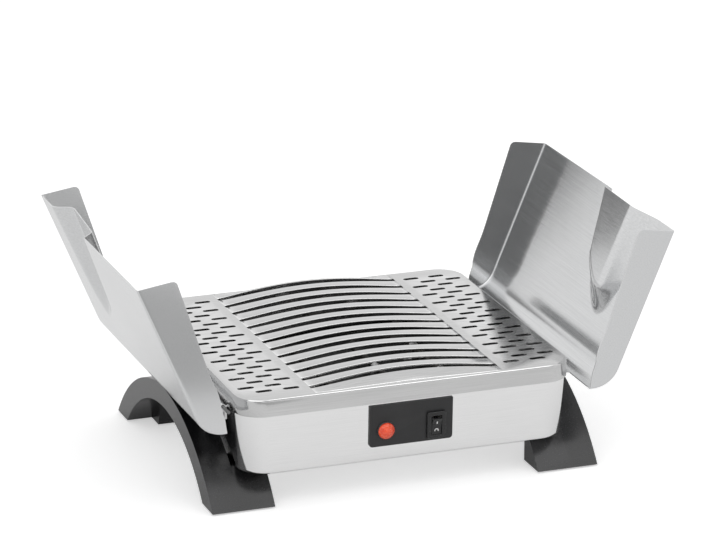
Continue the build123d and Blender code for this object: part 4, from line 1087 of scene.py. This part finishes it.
def clearRod(bm):
    # room for the fixed knuckles, and none of the sheet round the bare rod
    barrel = hood["knuckle"] + hood["knuckleRoom"]
    away = []
    for face in bm.faces:
        middle = face.calc_center_median()
        near = math.hypot(middle.x - hood["hingeX"], middle.z - hood["hingeZ"]) < barrel
        held = any(low < abs(middle.y) < high for low, high in knuckles)
        turned = math.degrees(math.atan2(middle.z - curlZ, middle.x - curlX)) % 360
        below = 180 < turned < hood["wallStop"] and middle.z < hood["hingeZ"] + hood["knuckle"]
        atEnd = curlEnd < abs(middle.y) < hood["halfDepth"] - level
        if near and not held or below and atEnd:
            away.append(face)
    bmesh.ops.delete(bm, geom=away, context="FACES")


def faceOutwards(bm):
    # the face that stands out farthest on the plain half has to look outwards
    bmesh.ops.recalc_face_normals(bm, faces=bm.faces)
    plain = [f for f in bm.faces if f.calc_center_median().y > 0]
    probe = max(plain, key=lambda f: f.calc_center_median().x)
    if probe.normal.x < 0:
        bmesh.ops.reverse_faces(bm, faces=bm.faces)


def foldEdges(bm):
    # where the end walls meet the panel and the curl, bent by more than 60 degrees
    found = []
    for edge in bm.edges:
        atEnd = all(abs(abs(v.co.y) - hood["halfDepth"]) < level for v in edge.verts)
        if atEnd and len(edge.link_faces) == 2:
            one, other = edge.link_faces
            if abs(one.normal.dot(other.normal)) < math.cos(math.radians(60)):
                found.append(edge)
    return found


def addKnuckles(piece):
    barrels = bmesh.new()
    for side in (-1, 1):
        for low, high in knuckles:
            y0, y1 = sorted((side * low, side * high))
            tube(barrels, hood["hingeX"], hood["hingeZ"], hood["knuckle"], hood["bore"], y0, y1)
    bmesh.ops.scale(barrels, vec=(mm, mm, mm), verts=barrels.verts)
    barrels.from_mesh(piece.data)
    barrels.to_mesh(piece.data)
    barrels.free()


def makeHood(name, node, body, turn):
    bm = hoodSheet()
    clearRod(bm)
    faceOutwards(bm)
    roundEdges(bm, foldEdges(bm), hood["fold"], 5)
    piece = finishPiece(name, bm, hoodSteel, body, [node], 50)
    giveThickness(piece, hood["sheet"], even=False)
    applySteps(piece, 50)
    addKnuckles(piece)
    piece.data.shade_smooth()
    piece.data.set_sharp_from_angle(angle=math.radians(50))
    piece.data.transform(Matrix.Rotation(turn, 4, "Z"))
    softEdges(piece, hood["sheetEdge"], 2, 60)
    return piece


makeHood("rightHood", "right_hood", "right_hood_body", 0)
makeHood("leftHood", "left_hood", "left_hood_body", math.pi)
print("hoods made")


# studio, in metres
studio = {
    "floorSize": 14.0, "floorColor": 0.86, "floorShine": 0.1, "floorGlow": 0.50, "mirrorGlow": 0.18,
    "worldLight": 0.50, "matte": 0.9,
    # name, place, the point it faces, size and grey
    "cards": [
        ("backCard", (-0.08, 0.966, 0.24), (0.2, 0.14, 0.16), (0.32, 0.34), 0.36),
        ("frontCard", (-1.25, -2.3, 0.30), (0.2, 0.14, 0.18), (1.3, 0.7), 0.34),
        ("ceilingCard", (0.75, -1.84, 1.20), (0, 0, 0.1), (1.8, 0.5), 0.04),
        ("floorCard", (-0.19, -0.615, 0.004), (-0.19, -0.615, 1.0), (0.37, 0.37), 0.60),
    ],
    # name, place, size, watts and whether metal mirrors it
    "lamps": [
        ("keyLamp", (-1.3, -1.5, 2.0), 2.4, 13.0, True),
        ("fillLamp", (0.95, -1.45, 2.1), 1.3, 7.0, True),
        ("topLamp", (0.2, 0.7, 2.3), 2.0, 10.0, False),
    ],
    "lampsFace": (0, 0, 0.08),
    "cameraAt": (-1.1198, -3.0862, 1.2157), "cameraLook": (0.32565, 0.89408, -0.30752),
    "lens": 201.1, "sensor": 36, "farthest": 50,
}


def matteMaterial(name, grey):
    material, tree, shader = startMaterial(name)
    shader.inputs["Base Color"].default_value = (grey, grey, grey, 1)
    shader.inputs["Roughness"].default_value = studio["matte"]
    return material, tree, shader


def flatSheet(name, size, material):
    bm = bmesh.new()
    bmesh.ops.create_grid(bm, x_segments=1, y_segments=1, size=0.5)
    bmesh.ops.scale(bm, vec=(*size, 1), verts=bm.verts)
    mesh = bpy.data.meshes.new(name)
    bm.to_mesh(mesh)
    bm.free()
    mesh.materials.append(material)
    sheet = bpy.data.objects.new(name, mesh)
    bpy.context.collection.objects.link(sheet)
    return sheet


def makeFloor():
    # lit by the lamps, with a glow that only the eye, mirrors and glass see
    material, tree, shader = matteMaterial("floorWhite", studio["floorColor"])
    shader.inputs["Specular IOR Level"].default_value = studio["floorShine"]
    glow = addNode(tree, "ShaderNodeEmission")
    path = addNode(tree, "ShaderNodeLightPath")
    mirrored = mathNode(tree, "ADD", path.outputs["Is Glossy Ray"], path.outputs["Is Transmission Ray"])
    seen = mathNode(tree, "MULTIPLY", path.outputs["Is Camera Ray"], studio["floorGlow"])
    strength = mathNode(tree, "ADD", seen, mathNode(tree, "MULTIPLY", mirrored, studio["mirrorGlow"]))
    tree.links.new(strength, glow.inputs["Strength"])
    total = addNode(tree, "ShaderNodeAddShader")
    tree.links.new(shader.outputs[0], total.inputs[0])
    tree.links.new(glow.outputs[0], total.inputs[1])
    tree.links.new(total.outputs[0], tree.nodes["Material Output"].inputs["Surface"])
    flatSheet("studioFloor", (studio["floorSize"], studio["floorSize"]), material)


def makeCards():
    # dark and grey cards that only polished faces mirror, as flags round a set
    for name, place, aim, size, grey in studio["cards"]:
        card = flatSheet(name, size, matteMaterial(name, grey)[0])
        card.location = place
        card.rotation_euler = (Vector(aim) - Vector(place)).to_track_quat("Z", "Y").to_euler()
        card.visible_camera = False
        card.visible_diffuse = False
        card.visible_transmission = False
        card.visible_shadow = False


def makeWorld():
    # full white to the eye, mirrors and glass, half that as light
    world = bpy.data.worlds.new("studioWorld")
    bpy.context.scene.world = world
    world.use_nodes = True
    tree = world.node_tree
    back = tree.nodes["Background"]
    back.inputs["Color"].default_value = (1, 1, 1, 1)
    path = addNode(tree, "ShaderNodeLightPath")
    eye = mathNode(tree, "ADD", path.outputs["Is Camera Ray"], path.outputs["Is Glossy Ray"])
    seen = mathNode(tree, "ADD", eye, path.outputs["Is Transmission Ray"])
    strength = mapRange(tree, mathNode(tree, "MINIMUM", seen, 1.0), studio["worldLight"], 1.0)
    tree.links.new(strength, back.inputs["Strength"])


def makeLamps():
    for name, place, size, power, mirrored in studio["lamps"]:
        light = bpy.data.lights.new(name, "AREA")
        light.shape = "SQUARE"
        light.size = size
        light.energy = power
        lamp = bpy.data.objects.new(name, light)
        bpy.context.collection.objects.link(lamp)
        lamp.location = place
        aim = Vector(studio["lampsFace"]) - Vector(place)
        lamp.rotation_euler = aim.to_track_quat("-Z", "Y").to_euler()
        lamp.visible_camera = False
        lamp.visible_glossy = mirrored


def makeCamera():
    data = bpy.data.cameras.new("camera")
    data.lens = studio["lens"]
    data.sensor_width = studio["sensor"]
    data.clip_end = studio["farthest"]
    camera = bpy.data.objects.new("camera", data)
    bpy.context.collection.objects.link(camera)
    camera.location = studio["cameraAt"]
    camera.rotation_euler = Vector(studio["cameraLook"]).to_track_quat("-Z", "Y").to_euler()
    bpy.context.scene.camera = camera


makeFloor()
makeCards()
makeWorld()
makeLamps()
makeCamera()
bpy.context.scene.view_settings.view_transform = "Standard"
print("studio made")
